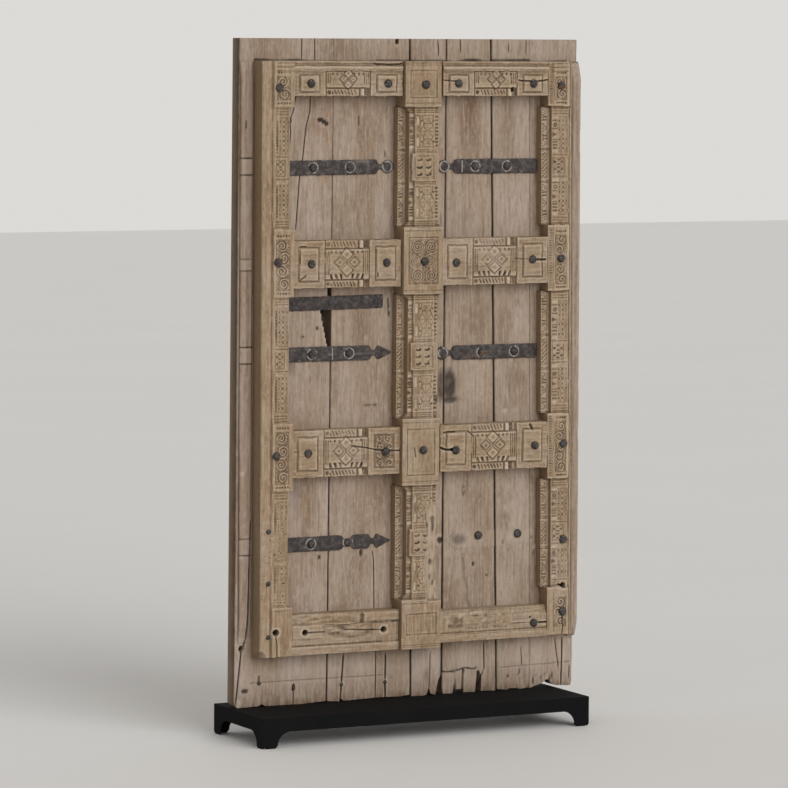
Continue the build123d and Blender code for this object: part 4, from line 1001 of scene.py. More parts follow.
@dataclass(frozen=True)
class Crack:
    """A split that follows the grain: its line down the board, and the stretches that are open."""

    line: tuple[Point, ...]
    stretches: tuple[tuple[float, float], ...]
    width: float = 3.0
    depth: float = 9.0

    def at(self, v: np.ndarray) -> np.ndarray:
        """Say where the line is across the board at each place up it."""
        places = sorted(self.line, key=lambda point: point[1])
        return np.interp(v, [point[1] for point in places], [point[0] for point in places])

    def opening(self, v: np.ndarray) -> np.ndarray:
        """Say how open the crack is at each place up the board: its ends close over 12 mm.

        Args:
            v: Places up the board.

        Returns:
            The opening, from 0 to 1.
        """
        cover = np.zeros_like(v)
        for head, foot in self.stretches:
            cover = np.maximum(cover, np.clip(np.minimum(v - foot, head - v) / 12 + 0.4, 0, 1))
        return cover


@dataclass(frozen=True)
class Board:
    """One upright plank: its edges at head and foot, its broken foot and its cracks.

    tone is its place between the two wood tones, and pink takes brown out of it. Where two
    planks hardly show their seam, faint holds the seam's place and the strength of its dark
    edge at head and foot.
    """

    name: str
    left: Point
    right: Point
    foot: tuple[Point, ...]
    cracks: tuple[Crack, ...]
    tone: float
    faint: tuple[float, float, float] = (-999.0, 1.0, 1.0)
    pink: float = 0.15


class Planks:
    """The six planks of the two leaves, with their splits, stains, knots and ragged feet."""

    HEIGHT = 2000.0
    THICK = 48.0
    COLUMN = 4.6
    ROW = 5.7
    FOOT_REACH = 90.0
    MARKED_ROWS = (71.0, 73.2, 75.4, 1932.0, 1935.5, 1939.0)
    DUST_AND_SHADE_LINE = 1935.5
    UNDER_FRAME = (46, 1106)

    def __init__(self, bench: Bench, finishes: Finishes) -> None:
        """Keep the door's place and the finishes."""
        self.bench = bench
        self.finishes = finishes

    def boards(self) -> tuple[Board, ...]:
        """List the planks from left to right.

        Returns:
            The planks.
        """
        return (
            Board("left_outer_plank", (0.5, 312.3), (-8.5, 299.6),
                  ((0.0, 14), (0.04, 0), (0.26, 2), (0.30, 8), (0.34, 1), (0.75, 0), (1.0, 4)),
                  (Crack(((34, 2000), (34, 300), (30, 205), (15, 177), (12, 146), (4, 71), (-3, 0)),
                         ((208, 0),), 4.5, 14.0),
                   Crack(((205, 2000), (205, 1936), (186, 1828), (180, 1790), (167, 1754), (170, 1722),
                          (164, 1661), (168, 1000), (189, 60), (189, 0)),
                         ((2000, 1938), (1828, 1661), (62, 0)), 3.0, 9.0),
                   Crack(((248, 2000), (249, 1936), (235, 1828), (233, 1782), (222, 1744), (216, 1699),
                          (210, 1642), (200, 1592), (194, 1509), (188, 1433), (210, 1000), (240, 0)),
                         ((2000, 1936), (1828, 1433)), 3.4, 9.0)), 0.15, (312.0, 0.15, 1.3), 0.3),
            Board("left_middle_plank", (313.7, 566.0), (302.4, 585.0),
                  ((0.0, 3), (0.15, 0), (0.16, 9), (0.20, 1), (0.62, 4), (0.90, 2), (1.0, 6)),
                  (Crack(((380, 2000), (375, 1000), (356, 141), (350, 51), (347, 0)),
                         ((141, 58), (50, 0)), 5.4, 16.0),
                   Crack(((450, 2000), (445, 1200), (439, 676), (440, 518), (456, 425), (459, 267),
                          (466, 135), (466, 0)), ((452, 262), (150, 0)), 3.2, 10.0),
                   Crack(((505, 2000), (503, 1000), (499, 124), (498, 50), (500, 0)),
                         ((135, 60), (50, 0)), 5.4, 20.0)), 0.6, (312.0, 0.15, 1.3), 0.0),
            Board("left_meeting_plank", (570.0, 691.8), (589.0, 690.5),
                  ((0.0, 0), (0.42, 0), (0.52, 2), (0.60, 26), (0.66, 4), (0.82, 0), (0.88, 40), (1.0, 62)),
                  (Crack(((662, 2000), (665, 1962), (660, 1900), (655, 700), (652, 120), (650, 0)),
                         ((1994, 1952), (130, 20)), 3.0, 9.0),), 0.45),
            Board("right_meeting_plank", (693.6, 843.0), (694.6, 882.0),
                  ((0.0, 20), (0.02, 1), (0.21, 0), (0.225, 34), (0.245, 12), (0.37, 12), (0.385, 30),
                   (0.40, 1), (0.62, 0), (0.64, 48), (0.70, 50), (0.72, 2), (1.0, 0)),
                  (Crack(((738, 2000), (741, 1965), (757, 1828), (757, 1430), (757, 0)),
                         ((2000, 1962),), 3.0, 7.0),
                   Crack(((815, 2000), (812, 847), (836, 300), (838, 129), (840, 73), (829, 45), (828, 0)),
                         ((150, 66), (60, 0)), 4.0, 18.0)), 0.85, pink=-0.12),
            Board("right_inner_plank", (847.0, 979.6), (886.0, 999.6),
                  ((0.0, 4), (0.30, 0), (0.38, 4), (0.62, 3), (0.70, 0), (1.0, 2)),
                  (Crack(((905, 2000), (930, 0)), ((1988, 1960),), 2.6, 5.0),
                   Crack(((967, 2000), (966, 1900), (968, 127), (972, 77), (974, 0)),
                         ((1998, 1956), (130, 74)), 2.6, 6.0)),
                  1.0, (990.0, 0.2, 0.2), 0.3),
            Board("right_outer_plank", (980.4, 1144.0), (1000.4, 1149.5),
                  ((0.0, 0), (0.30, 14), (0.42, 26), (0.52, 10), (0.60, 4), (0.97, 0), (1.0, 14)),
                  (Crack(((1085, 2000), (1086, 300), (1088, 145), (1100, 67), (1098, 0)),
                         ((150, 62),), 3.0, 9.0),
                   Crack(((1112, 2000), (1113, 144), (1111, 0)), ((150, 4),), 4.4, 16.0),
                   Crack(((1134, 2000), (1137, 100), (1140, 58), (1140, 0)), ((62, 24),), 3.4, 9.0)),
                  0.6, (990.0, 0.2, 0.2), 0.2),
        )

    def grid(self, board: Board) -> Face:
        """Lay a board's grid so that columns follow each crack exactly.

        The rows run up the board and, near its foot, are lifted by the broken foot's profile,
        which fades out 90 mm up. Each crack brings three columns: its two lips and its bottom.
        The columns between them are spread evenly.

        Args:
            board: The plank.

        Returns:
            Its flat face.
        """
        rows = np.unique(np.concatenate((np.linspace(0, self.HEIGHT, round(self.HEIGHT / self.ROW)),
                                         self.MARKED_ROWS)))
        up = rows / self.HEIGHT
        edge_l = board.right[0] + (board.left[0] - board.right[0]) * up
        edge_r = board.right[1] + (board.left[1] - board.right[1]) * up
        lines = [edge_l]
        for crack in board.cracks:
            middle = crack.at(rows)
            lines += [middle - crack.width / 2, middle, middle + crack.width / 2]
        lines.append(edge_r)
        columns = []
        for near, far in zip(lines, lines[1:]):
            count = max(1, round(float((far - near).max()) / self.COLUMN))
            columns += [near + (far - near) * step / count for step in range(count)]
        columns.append(edge_r)
        face = Face([Span(0, 0, 1), Span(1, 0, 1)], 1.0, 1.0)
        face.u = np.stack(columns, axis=1)
        share = (face.u - edge_l[:, None]) / (edge_r - edge_l)[:, None]
        lift = np.interp(share, [place for place, _ in board.foot], [rise for _, rise in board.foot])
        fade = np.clip(1 - rows / self.FOOT_REACH, 0, 1)[:, None]
        face.v = rows[:, None] + lift * fade
        face.w = np.zeros_like(face.u)
        face.dirt, face.pale, face.warm, face.off_u, face.off_v = np.zeros((5, *face.u.shape))
        return face

    def weathered(self, board: Board, seed: int) -> Face:
        """Carve one board's splits, and age it: cupped, ridged along the grain and worn at its edges.

        A dark line of dust and painted shade lies on the planks just above the head of the frame.

        Args:
            board: The plank.
            seed: Seed of its noise.

        Returns:
            The finished face.
        """
        face, weather = self.grid(board), Weather(seed)
        u, v = face.u, face.v
        across = (u - u[:, :1]) / (u[:, -1:] - u[:, :1])
        face.w -= 0.7 + 0.9 * (2 * across - 1) ** 4 * 2
        face.w += 0.45 * weather.at(u, v, 13, 260) + 0.4 * weather.at(u, v, 6, 90)
        near_foot = np.clip(1 - v / 60, 0, 1)
        face.w -= near_foot * (0.6 + 1.4 * np.clip(weather.at(u, v, 9, 40), 0, 1)) * 2
        face.dirt += near_foot ** 2 * 0.25 * (1 + weather.at(u, v, 15, 30))
        face.warm += np.clip(1 - v / 30, 0, 1) * 0.8 - np.clip(1 - np.abs(v - 95) / 60, 0, 1) * 0.35
        face.pale += np.clip(1 - np.abs(v - 95) / 60, 0, 1) * 0.3
        for crack in board.cracks:
            middle = crack.at(v)
            opening = crack.opening(v) * np.clip(1 - np.abs(u - middle) / (crack.width * 0.49), 0, 1)
            face.w -= opening * crack.depth
            # Grime with painted shade along the open part of each crack.
            near = np.clip(1 - np.abs(u - middle) / (crack.width * 1.1), 0, 1) * crack.opening(v)
            np.maximum(face.dirt, near ** 2, out=face.dirt)
        place, at_head, at_foot = board.faint
        strength = at_foot + (at_head - at_foot) * v / self.HEIGHT
        quiet = np.where(np.abs(u - place) < 60, strength, 1.0).clip(0, 1)
        edge = np.minimum(u - u[:, :1], u[:, -1:] - u)
        face.w -= np.clip(1 - edge / 3, 0, 1) * (1.4 + weather.at(v, u, 30, 9)) * quiet
        np.maximum(face.dirt, np.clip(1 - edge / 2, 0, 1) * 0.8 * quiet, out=face.dirt)
        broad, narrow = weather.at(u, v + 900, 60, 170), weather.at(u + 90, v, 24, 160)
        face.warm += 0.75 * broad + 0.25 * narrow - board.pink
        # Dust with painted shade: a dark line on the planks just above the head of the frame.
        shade = np.clip(1.3 + weather.at(u, u * 0, 60, 1) - np.abs(v - self.DUST_AND_SHADE_LINE) / 3.5, 0, 1)
        np.maximum(face.dirt, shade * ((u > self.UNDER_FRAME[0]) & (u < self.UNDER_FRAME[1])), out=face.dirt)
        return face

    def mark(self, name: str, face: Face) -> None:
        """Add the stains, knots, gashes and lost pieces that belong to one board.

        Args:
            name: The board's name.
            face: Its face.
        """
        window = face.all()
        for foot_line in (((44, 73), (210, 73), (491, 72)), ((895, 71), (1142, 75))):
            window.sink(window.stroke(foot_line, 5.0), 1.4, 0.45)
        marks = {
            "left_outer_plank": self.mark_left_outer,
            "left_middle_plank": self.mark_left_middle,
            "left_meeting_plank": self.mark_meeting,
            "right_meeting_plank": self.mark_right_meeting,
            "right_inner_plank": self.mark_right_inner,
            "right_outer_plank": self.mark_right_outer,
        }
        marks[name](window)

    def mark_left_outer(self, window: Window) -> None:
        """Mark the outer plank of the left leaf: its gashes, the wedge below the repair bar, stains.

        Args:
            window: The whole face.
        """
        window.sink(np.minimum(window.stroke([(265, 1759), (278, 1754), (290, 1746)], 14) * 3, 1), 5.0, 1.0)
        for u, v, half_u, half_v in ((188, 1765, 24, 70), (270, 1650, 22, 60), (250, 1460, 52, 28)):
            window.tint(window.oval(u, v, half_u, half_v, 0.8), -0.6)
        window.tint(window.oval(190, 1964, 90, 60, 0.8), -0.3)
        # The lost pieces and holes below are painted near black inside: painted shade in the voids.
        window.sink(window.within([(272, 1190), (301, 1062), (316, 1062), (316, 1190)]).clip(0, 1), 40, 1.0)
        window.sink(window.within([(297, 1264), (297, 1230), (316, 1230), (316, 1268)]).clip(0, 1), 40, 1.0)
        window.sink(window.box(164, 170, 1754, 1761), 20, 1.0)
        for u, v, size in ((261, 1133, 5), (214, 1109, 4.5), (273, 442, 6)):
            window.sink(window.oval(u, v, size, size * 1.3), 2.0, 0.9)
        window.paint_dark(window.oval(172, 1020, 24, 42, 0.8) * 0.45)
        window.paint_dark(window.oval(190, 640, 40, 60, 0.9) * 0.3)
        window.paint_dark(window.oval(160, 460, 22, 40, 0.8) * 0.4)
        window.sink(window.oval(15, 179, 8, 9), 20, 1.0)
        window.sink(window.oval(28, 50, 13, 8), 6, 0.8)
        window.bleach(window.stroke([(47, 66), (51, 30), (49, 4)], 12) * 0.6)
        window.crack([(75, 92), (74, 72)], 8, 6)
        window.sink(window.oval(189, 50, 5, 11), 8, 0.95)
        window.bleach(window.oval(6, 12, 12, 16))
        window.bleach(window.stroke([(262, 1933), (262, 1995)], 5) * 0.3)

    def mark_left_middle(self, window: Window) -> None:
        """Mark the middle plank of the left leaf: its knot, gash, arched figure and nail scars.

        Args:
            window: The whole face.
        """
        window.sink(window.stroke([(396, 1768), (397, 1740)], 6), 3.0, 0.95)
        window.tint(window.oval(430, 1964, 150, 50, 0.8), 0.4)
        window.crack([(483, 1666), (488, 1643)], 6, 3.0)
        window.crack([(499, 1216), (503, 1168)], 9, 4.0, 0.8)
        window.bleach(window.oval(504, 1184, 5, 7) * 0.9)
        window.crack([(423, 898), (461, 897)], 6, 2.0, 0.6)
        window.bleach(window.oval(447, 897, 6, 6))
        window.sink(window.oval(413, 449, 7, 12), 3.0, 0.95)
        window.sink(window.box(520, 530, 1985, 1995), 20, 1.0)
        for rise in range(4):
            top = 395 - rise * 26
            window.sink(window.stroke([(382, top + 60), (401, top - 30), (420, top + 66)], 3), 0.5, 0.22)
        window.bleach(window.oval(353, 51, 11, 9))
        window.bleach(window.oval(500, 52, 9, 9) * 0.9)
        window.crack([(506, 75), (524, 60), (508, 42)], 3, 1.0, 0.4)
        window.paint_dark(window.oval(330, 1290, 30, 40, 0.9) * 0.25)
        window.paint_dark(window.oval(560, 1100, 14, 200, 0.9) * 0.25)

    def mark_meeting(self, window: Window) -> None:
        """Mark the ledge by the meeting line: its seam lip, the scar of the lost finial and the burn.

        Args:
            window: The whole face.
        """
        window.paint_dark(window.oval(683, 950, 20, 62, 0.5) * 0.8)
        window.bleach(window.ring(683, 476, 17, 4) * 0.9)
        window.sink(window.disc(683, 476, 9), 4.0, 0.9)
        window.sink(window.within([(684, 1966), (689, 1996), (700, 2001), (700, 1966)]).clip(0, 1), 12, 0.8)
        window.paint_dark(window.oval(640, 60, 18, 30, 0.8) * 0.4)

    def mark_right_meeting(self, window: Window) -> None:
        """Mark the meeting plank of the right leaf: burn, ghost of a lost strap, knots, broken foot.

        Args:
            window: The whole face.
        """
        window.paint_dark(window.oval(712, 950, 28, 62, 0.45))
        window.paint_dark(window.oval(715, 905, 40, 16, 0.6))
        window.bleach(window.stroke([(692, 893), (708, 889), (728, 893), (744, 903)], 6) * 0.7)
        window.sink(window.box(812, 858, 826, 848) * (1 - window.box(814, 860, 828, 846)), 1.5, 0.4)
        self.mark_ghost(window)
        for u, v, tall in ((762, 625, 42), (763, 420, 26)):
            window.sink(window.oval(u, v, 7, tall * 0.5), 1.2, 0.35)
            window.bleach(window.oval(u + 1, v + 3, 5, 6))
            window.sink(window.disc(u + 2, v + 3, 1.6), 3, 0.9)
        window.sink(window.oval(798, 397, 6, 9), 3.0, 0.9)
        window.sink(window.oval(845, 360, 6, 5), 2.0, 0.7)
        window.paint_dark(window.stroke([(764, 410), (770, 350), (780, 317), (776, 290), (790, 262)], 16) * 0.5)
        window.tint(window.oval(750, 1735, 60, 110, 0.8), 0.4)
        window.sink(window.box(690, 818, -20, 69, 3), 1.6, 0.0)
        window.bleach(window.box(690, 818, -20, 69, 3) * 0.3)
        window.crack([(695, 70), (707, 67), (742, 70), (773, 77), (795, 72), (815, 74)], 6, 6, 1.0)
        window.crack([(741, 0), (740, 40)], 4, 12, 0.9)
        window.crack([(767, 0), (768, 72)], 5, 14, 0.95)
        window.crack([(820, -5), (821, 60)], 12, 24, 1.0)

    def mark_ghost(self, window: Window) -> None:
        """Show where the bottom strap was: a cleaner band with a pointed end, outlined, and a scorch.

        Args:
            window: The whole face.
        """
        band = window.within([(703, 474), (737, 447), (1016, 450), (1016, 499), (737, 500)])
        window.level(np.clip(band / 2, 0, 1) * 0.8, -1.8)
        window.sink(np.clip(1 - np.abs(band) / 2.2, 0, 1), 0.9, 0.45)
        window.bleach(np.clip(band / 3, 0, 1) * 0.3)
        window.paint_dark(window.oval(748, 476, 36, 22, 0.6) * 0.7)

    def mark_right_inner(self, window: Window) -> None:
        """Mark the inner plank of the right leaf: the ghost strap, pale spots and the foot gash.

        Args:
            window: The whole face.
        """
        self.mark_ghost(window)
        window.bleach(window.oval(904, 864, 10, 9) * 0.8)
        window.bleach(window.oval(909, 566, 6, 7))
        window.sink(window.disc(909, 564, 1.8), 3, 0.9)
        window.sink(window.oval(902, 460, 6, 4), 1.0, 0.5)
        window.crack([(961, 62), (966, 54), (959, 46)], 6, 4, 0.9)
        window.sink(window.oval(924, 43, 5, 5), 2, 0.7)
        window.paint_dark(window.oval(920, 960, 10, 60, 0.9) * 0.3)

    def mark_right_outer(self, window: Window) -> None:
        """Mark the outer plank of the right leaf: the ghost strap, nail scars, white chips at the foot.

        Args:
            window: The whole face.
        """
        self.mark_ghost(window)
        for u, v in ((975, 482), (988, 476), (1000, 470)):
            window.paint_dark(window.oval(u, v, 5, 6) * 0.6)
        window.bleach(window.oval(1009, 439, 5, 7))
        window.paint_dark(window.oval(1010, 422, 7, 16, 0.8) * 0.6)
        for u, height, width in ((1012, 36, 4), (1023, 42, 3), (1041, 34, 5), (1054, 44, 3), (1069, 36, 4)):
            window.crack([(u, height), (u + 2, 12)], width, 6, 0.7)
            window.bleach(window.stroke([(u + 6, height - 2), (u + 7, 14)], 7))
        window.paint_dark(window.oval(1078, 34, 7, 14, 0.7) * 0.9)

    def make(self) -> None:
        """Make, dress and report the six planks."""
        for seed, board in enumerate(self.boards(), start=11):
            face = self.weathered(board, seed)
            self.mark(board.name, face)
            piece = closed_piece(f"{board.name}_weathered", self.bench, face, -self.THICK, reach=2)
            dress(piece, self.finishes.plank, "plank_wood", board.tone, board.name)


@dataclass
class EdgeMoulding:
    """A rounded strip on an outer margin of the door; each edge is its place at head and foot."""

    name: str
    left: Point
    right: Point
    foot: float
    proud: float
    drop: float
    rings: tuple[Point, ...]

    def make(self, bench: Bench, finishes: Finishes, seed: int) -> None:
        """Make the strip: across it the height falls with the fourth power of the distance to its middle.

        Its height fades over the last 60 mm at head and foot.

        Args:
            bench: Where the door stands.
            finishes: The finishes.
            seed: Seed of its noise.
        """
        face = Face([Span(self.foot, self.left[1], self.right[1]),
                     Span(FRAME_HEAD, self.left[0], self.right[0])], 2.4, 3.8)
        weather = Weather(seed)
        share = (2 * face.u - face.u[:, :1] - face.u[:, -1:]) / (face.u[:, -1:] - face.u[:, :1])
        face.w = self.proud * (1 - self.drop * share ** 4) - 0.6
        window = face.all()
        left, right = window.corners[:2]
        for low, high in self.rings:
            band = window.box(left - 1, right + 1, low, high)
            face.w += band * 0.8
            window.bleach(band * 0.25)
            for v in (low, high):
                window.sink(window.box(left - 1, right + 1, v - 1.7, v + 1.7, 1.5), 2.2, 0.8)
        face.w += 0.5 * weather.at(face.u, face.v, 7, 120) + 0.4 * weather.at(face.u, face.v, 18, 22)
        chipped = np.clip(weather.at(face.v, face.u, 26, 200) * 2 - 0.9, 0, 1) * np.abs(share) ** 6
        face.w -= chipped * self.proud * 0.3
        face.w += 1.6 * np.clip(weather.at(face.u, face.v + 40, 9, 300) * 2 - 0.6, -1, 0)
        face.warm += weather.at(face.u, face.v, 40, 160) * 0.5 - 0.2
        if self.rings:
            self.scar(window)
        ends = np.clip((FRAME_HEAD + 4 - face.v) / 60, 0, 1) * np.clip((face.v - self.foot + 12) / 60, 0, 1)
        face.w *= ends if self.rings else np.sqrt(ends)
        face.w = np.clip(face.w, 0.6, self.proud)
        piece = closed_piece(f"{self.name}_worn", bench, face, 0.0, reach=3)
        dress(piece, finishes.margin, "carved_wood", seed % 7 / 7, self.name)

    def scar(self, window: Window) -> None:
        """Add the scars of the left strip: one long open crack, a gash and pale spots.

        Args:
            window: The whole face.
        """
        window.crack([(42, 560), (41, 522), (36, 400), (32, 267), (27, 207), (20, 192)], 8, 9, 1.0)
        window.crack([(20, 1754), (20, 1734)], 6, 3, 0.9)
        window.bleach(window.oval(12, 706, 7, 9))
        window.bleach(window.oval(24, 512, 12, 10) * 0.5)
        window.bleach(window.oval(9, 456, 6, 9) * 0.8)
        window.bleach(window.box(0, 48, 190, 212, 8) * 0.5)


@dataclass
class Stile:
    """A carved stile: a plain outer moulding, a carved band and four wider blocks."""

    name: str
    edge_l: float
    edge_r: float
    block_l: float
    block_r: float
    band_l: float
    band_r: float
    mould: Point
    groove: float
    blocks: tuple[Point, ...]
    proud: float = 60.0
    block_proud: float = 63.0
    lean: float = 0.0
    cracks: tuple[tuple[tuple[Point, ...], float, float], ...] = ()
    holes: tuple[tuple[float, float, float], ...] = ()
    face: Face = field(init=False)

    def outline(self) -> list[Span]:
        """List the spans: narrow between the blocks, wide at them.

        Returns:
            The spans from the foot up.
        """
        spans: list[Span] = []
        for index, (foot, head) in enumerate(self.blocks):
            left, right = min(self.edge_l, self.block_l), max(self.edge_r, self.block_r)
            if index:
                spans.append(Span(foot, self.edge_l, self.edge_r, self.proud))
            spans += [Span(foot, left, right, self.proud), Span(head, left, right, self.proud)]
            if index < len(self.blocks) - 1:
                spans.append(Span(head, self.edge_l, self.edge_r, self.proud))
        return spans

    def carve_zone(self, carver: Carver, foot: float, head: float) -> None:
        """Carve one stretch between two blocks.

        From each end come level lines, then a braid beside a slender leaf on the left stile, or
        a side band beside a braid on the right one. A small crossed block stands at the middle.

        Args:
            carver: The carver of this face.
            foot: Foot of the stretch.
            head: Head of the stretch.
        """
        band_l, band_r = self.band_l, self.band_r
        middle = (foot + head) / 2
        block = (middle - 25, middle + 25)
        carver.rings(band_l, band_r, foot + 6, 3, 8)
        carver.rings(band_l, band_r, head - 22, 3, 8)
        carver.crossed_block(band_l + 1, band_r - 12, *block)
        carver.rings(band_l, band_r, block[0] - 8, 1, 8)
        carver.rings(band_l, band_r, block[1] + 8, 1, 8)
        for v0, v1 in ((foot + 30, block[0] - 14), (block[1] + 14, head - 30)):
            if self.lean:
                carver.side_band(band_l, band_l + 19, v0, v1, 0.6)
                carver.braid(band_l + 21, band_r, v0, v1, round((v1 - v0) / 30))
                continue
            carver.braid(band_l + 11, band_r - 1, v0, v1, round((v1 - v0) / 32))
            window = carver.face.window(band_l, band_r, v0, v1)
            window.sink(window.oval(band_l + 5, (v0 + v1) / 2, 5, (v1 - v0) / 2 - 4), 2.6, 0.25)
            for v in np.arange(v0 + 8, v1 - 6, 9.0):
                window.sink(window.oval(band_l + 5, float(v), 3.6, 2.8), 2.0, 0.55)
        cubes = carver.face.window(band_l, band_r, block[0] - 26, block[0] - 10)
        cubes.bleach(cubes.box(band_l + 2, band_r - 2, block[0] - 22, block[0] - 14) * 0.5)

    def carve_block(self, carver: Carver, foot: float, head: float, plain_head: float) -> None:
        """Carve one block: a dotted row at each end round a panel of scrolls.

        Args:
            carver: The carver of this face.
            foot: Its foot.
            head: Its head.
            plain_head: Height of the plain part at its head.
        """
        left, right = max(self.block_l, self.band_l), min(self.block_r, self.band_r + 14)
        if self.lean:
            left += 5
            count = round((head - foot) / 8)
            carver.flutes(self.block_l + 4, self.block_l + 16, foot + 6, head - 6, count, False, 2.4, 0.6)
            edge = carver.face.window(self.block_l, left, foot, head)
            edge.sink(edge.box(self.block_l + 18.5, self.block_l + 20.5, foot, head), 2.0, 0.4)
        carver.foliage(left + 2, right - 10, foot + 20, head - plain_head)
        carver.dots(left + 8, right - 14, head - plain_head + 10, 5)
        carver.dots(left + 8, right - 14, foot + 11, 5)

    def make(self, bench: Bench, finishes: Finishes, seed: int) -> None:
        """Make, dress and report the stile.

        Across the outer moulding the height falls with the fourth power of the distance to its
        middle, and a shallow groove parts it from the band.

        Args:
            bench: Where the door stands.
            finishes: The finishes.
            seed: Seed of its noise.
        """
        self.face = Face(self.outline(), 1.9, 2.0)
        carver, weather = Carver(self.face), Weather(seed)
        self.face.wobble(weather)
        window = self.face.all()
        for foot, head in self.blocks:
            window.level(window.box(self.block_l - 1, self.block_r + 1, foot, head, 0.5), self.block_proud)
        mould_l, mould_r = self.mould
        share = np.clip(np.abs(window.u - (mould_l + mould_r) / 2) / ((mould_r - mould_l) / 2), 0, 1)
        on_mould = window.box(mould_l - 1, mould_r, *PAST_ENDS, 0.5)
        window.w -= on_mould * (4.0 * share ** 4 + 0.4)
        window.sink(window.box(self.groove - 1.3, self.groove + 1.3, *PAST_ENDS), 1.6, 0.12)
        for foot, head in zones_between(self.blocks):
            self.carve_zone(carver, foot, head)
        self.carve_blocks(carver)
        self.face.age(weather)
        for line, width, depth in self.cracks:
            window.crack(line, width, depth)
        # The holes of lost studs are painted near black inside: painted shade in the holes.
        for u, v, radius in self.holes:
            window.sink(window.disc(u, v, radius, 2), 40, 1.0)
        if not self.lean:
            self.wear(window, weather)
        self.face.w = np.clip(self.face.w, 4, self.block_proud)
        self.face.u += self.lean * (FRAME_HEAD - self.face.v)
        piece = closed_piece(f"{self.name}_carved", bench, self.face, 0.0)
        dress(piece, finishes.carved, "carved_wood", seed % 5 / 5, self.name)

    def wear(self, window: Window, weather: Weather) -> None:
        """Rub the lower stretch of the left stile nearly smooth, and round its lower outer corner.

        Args:
            window: The whole face.
            weather: The noise of this face.
        """
        patchy = np.clip(0.75 + weather.at(window.u, window.v, 30, 70), 0, 1)
        rubbed = window.box(60, 150, 305, 600, 40) * patchy
        smooth = self.proud - 2.4 + 1.1 * weather.at(window.u, window.v, 7, 40)
        window.w += (smooth - window.w) * rubbed * 0.75 * (window.w < self.proud + 1)
        window.dirt *= 1 - rubbed * 0.55
        holes = np.clip(weather.at(window.u + 90, window.v, 4.2, 4.6) * 5 - 3.6, 0, 1) * rubbed
        window.sink(holes, 3.0, 0.9)
        window.w -= np.clip(1 - np.hypot(window.u - 48, window.v - 156) / 22, 0, 1) * 26

    def carve_blocks(self, carver: Carver) -> None:
        """Carve the blocks: scrolls on the upper three, and on the foot block of the right stile too.

        Args:
            carver: The carver of this face.
        """
        bottom, lower, upper, top = self.blocks
        for block, plain_head in ((lower, 24.0), (upper, 30.0), (top, 44.0)):
            self.carve_block(carver, *block, plain_head)
        window = carver.face.window(self.band_l, self.block_r, *top)
        for v in (top[1] - 6, top[1] - 17, top[1] - 29):
            window.sink(window.box(self.band_l - 8, self.block_r - 1, v - 1.3, v + 1.3), 2.2, 0.4)
        foot = carver.face.window(self.band_l, self.block_r, *bottom)
        if self.lean:
            carver.foliage(self.band_l + 2, self.band_r - 6, bottom[0] + 26, bottom[1] - 30, 9)
            foot.sink(foot.line_round(3, 2.0), 1.6, 0.35)
        else:
            foot.sink(foot.box(self.band_l - 2, self.block_r - 12, bottom[1] - 12, bottom[1] - 9), 1.6, 0.3)


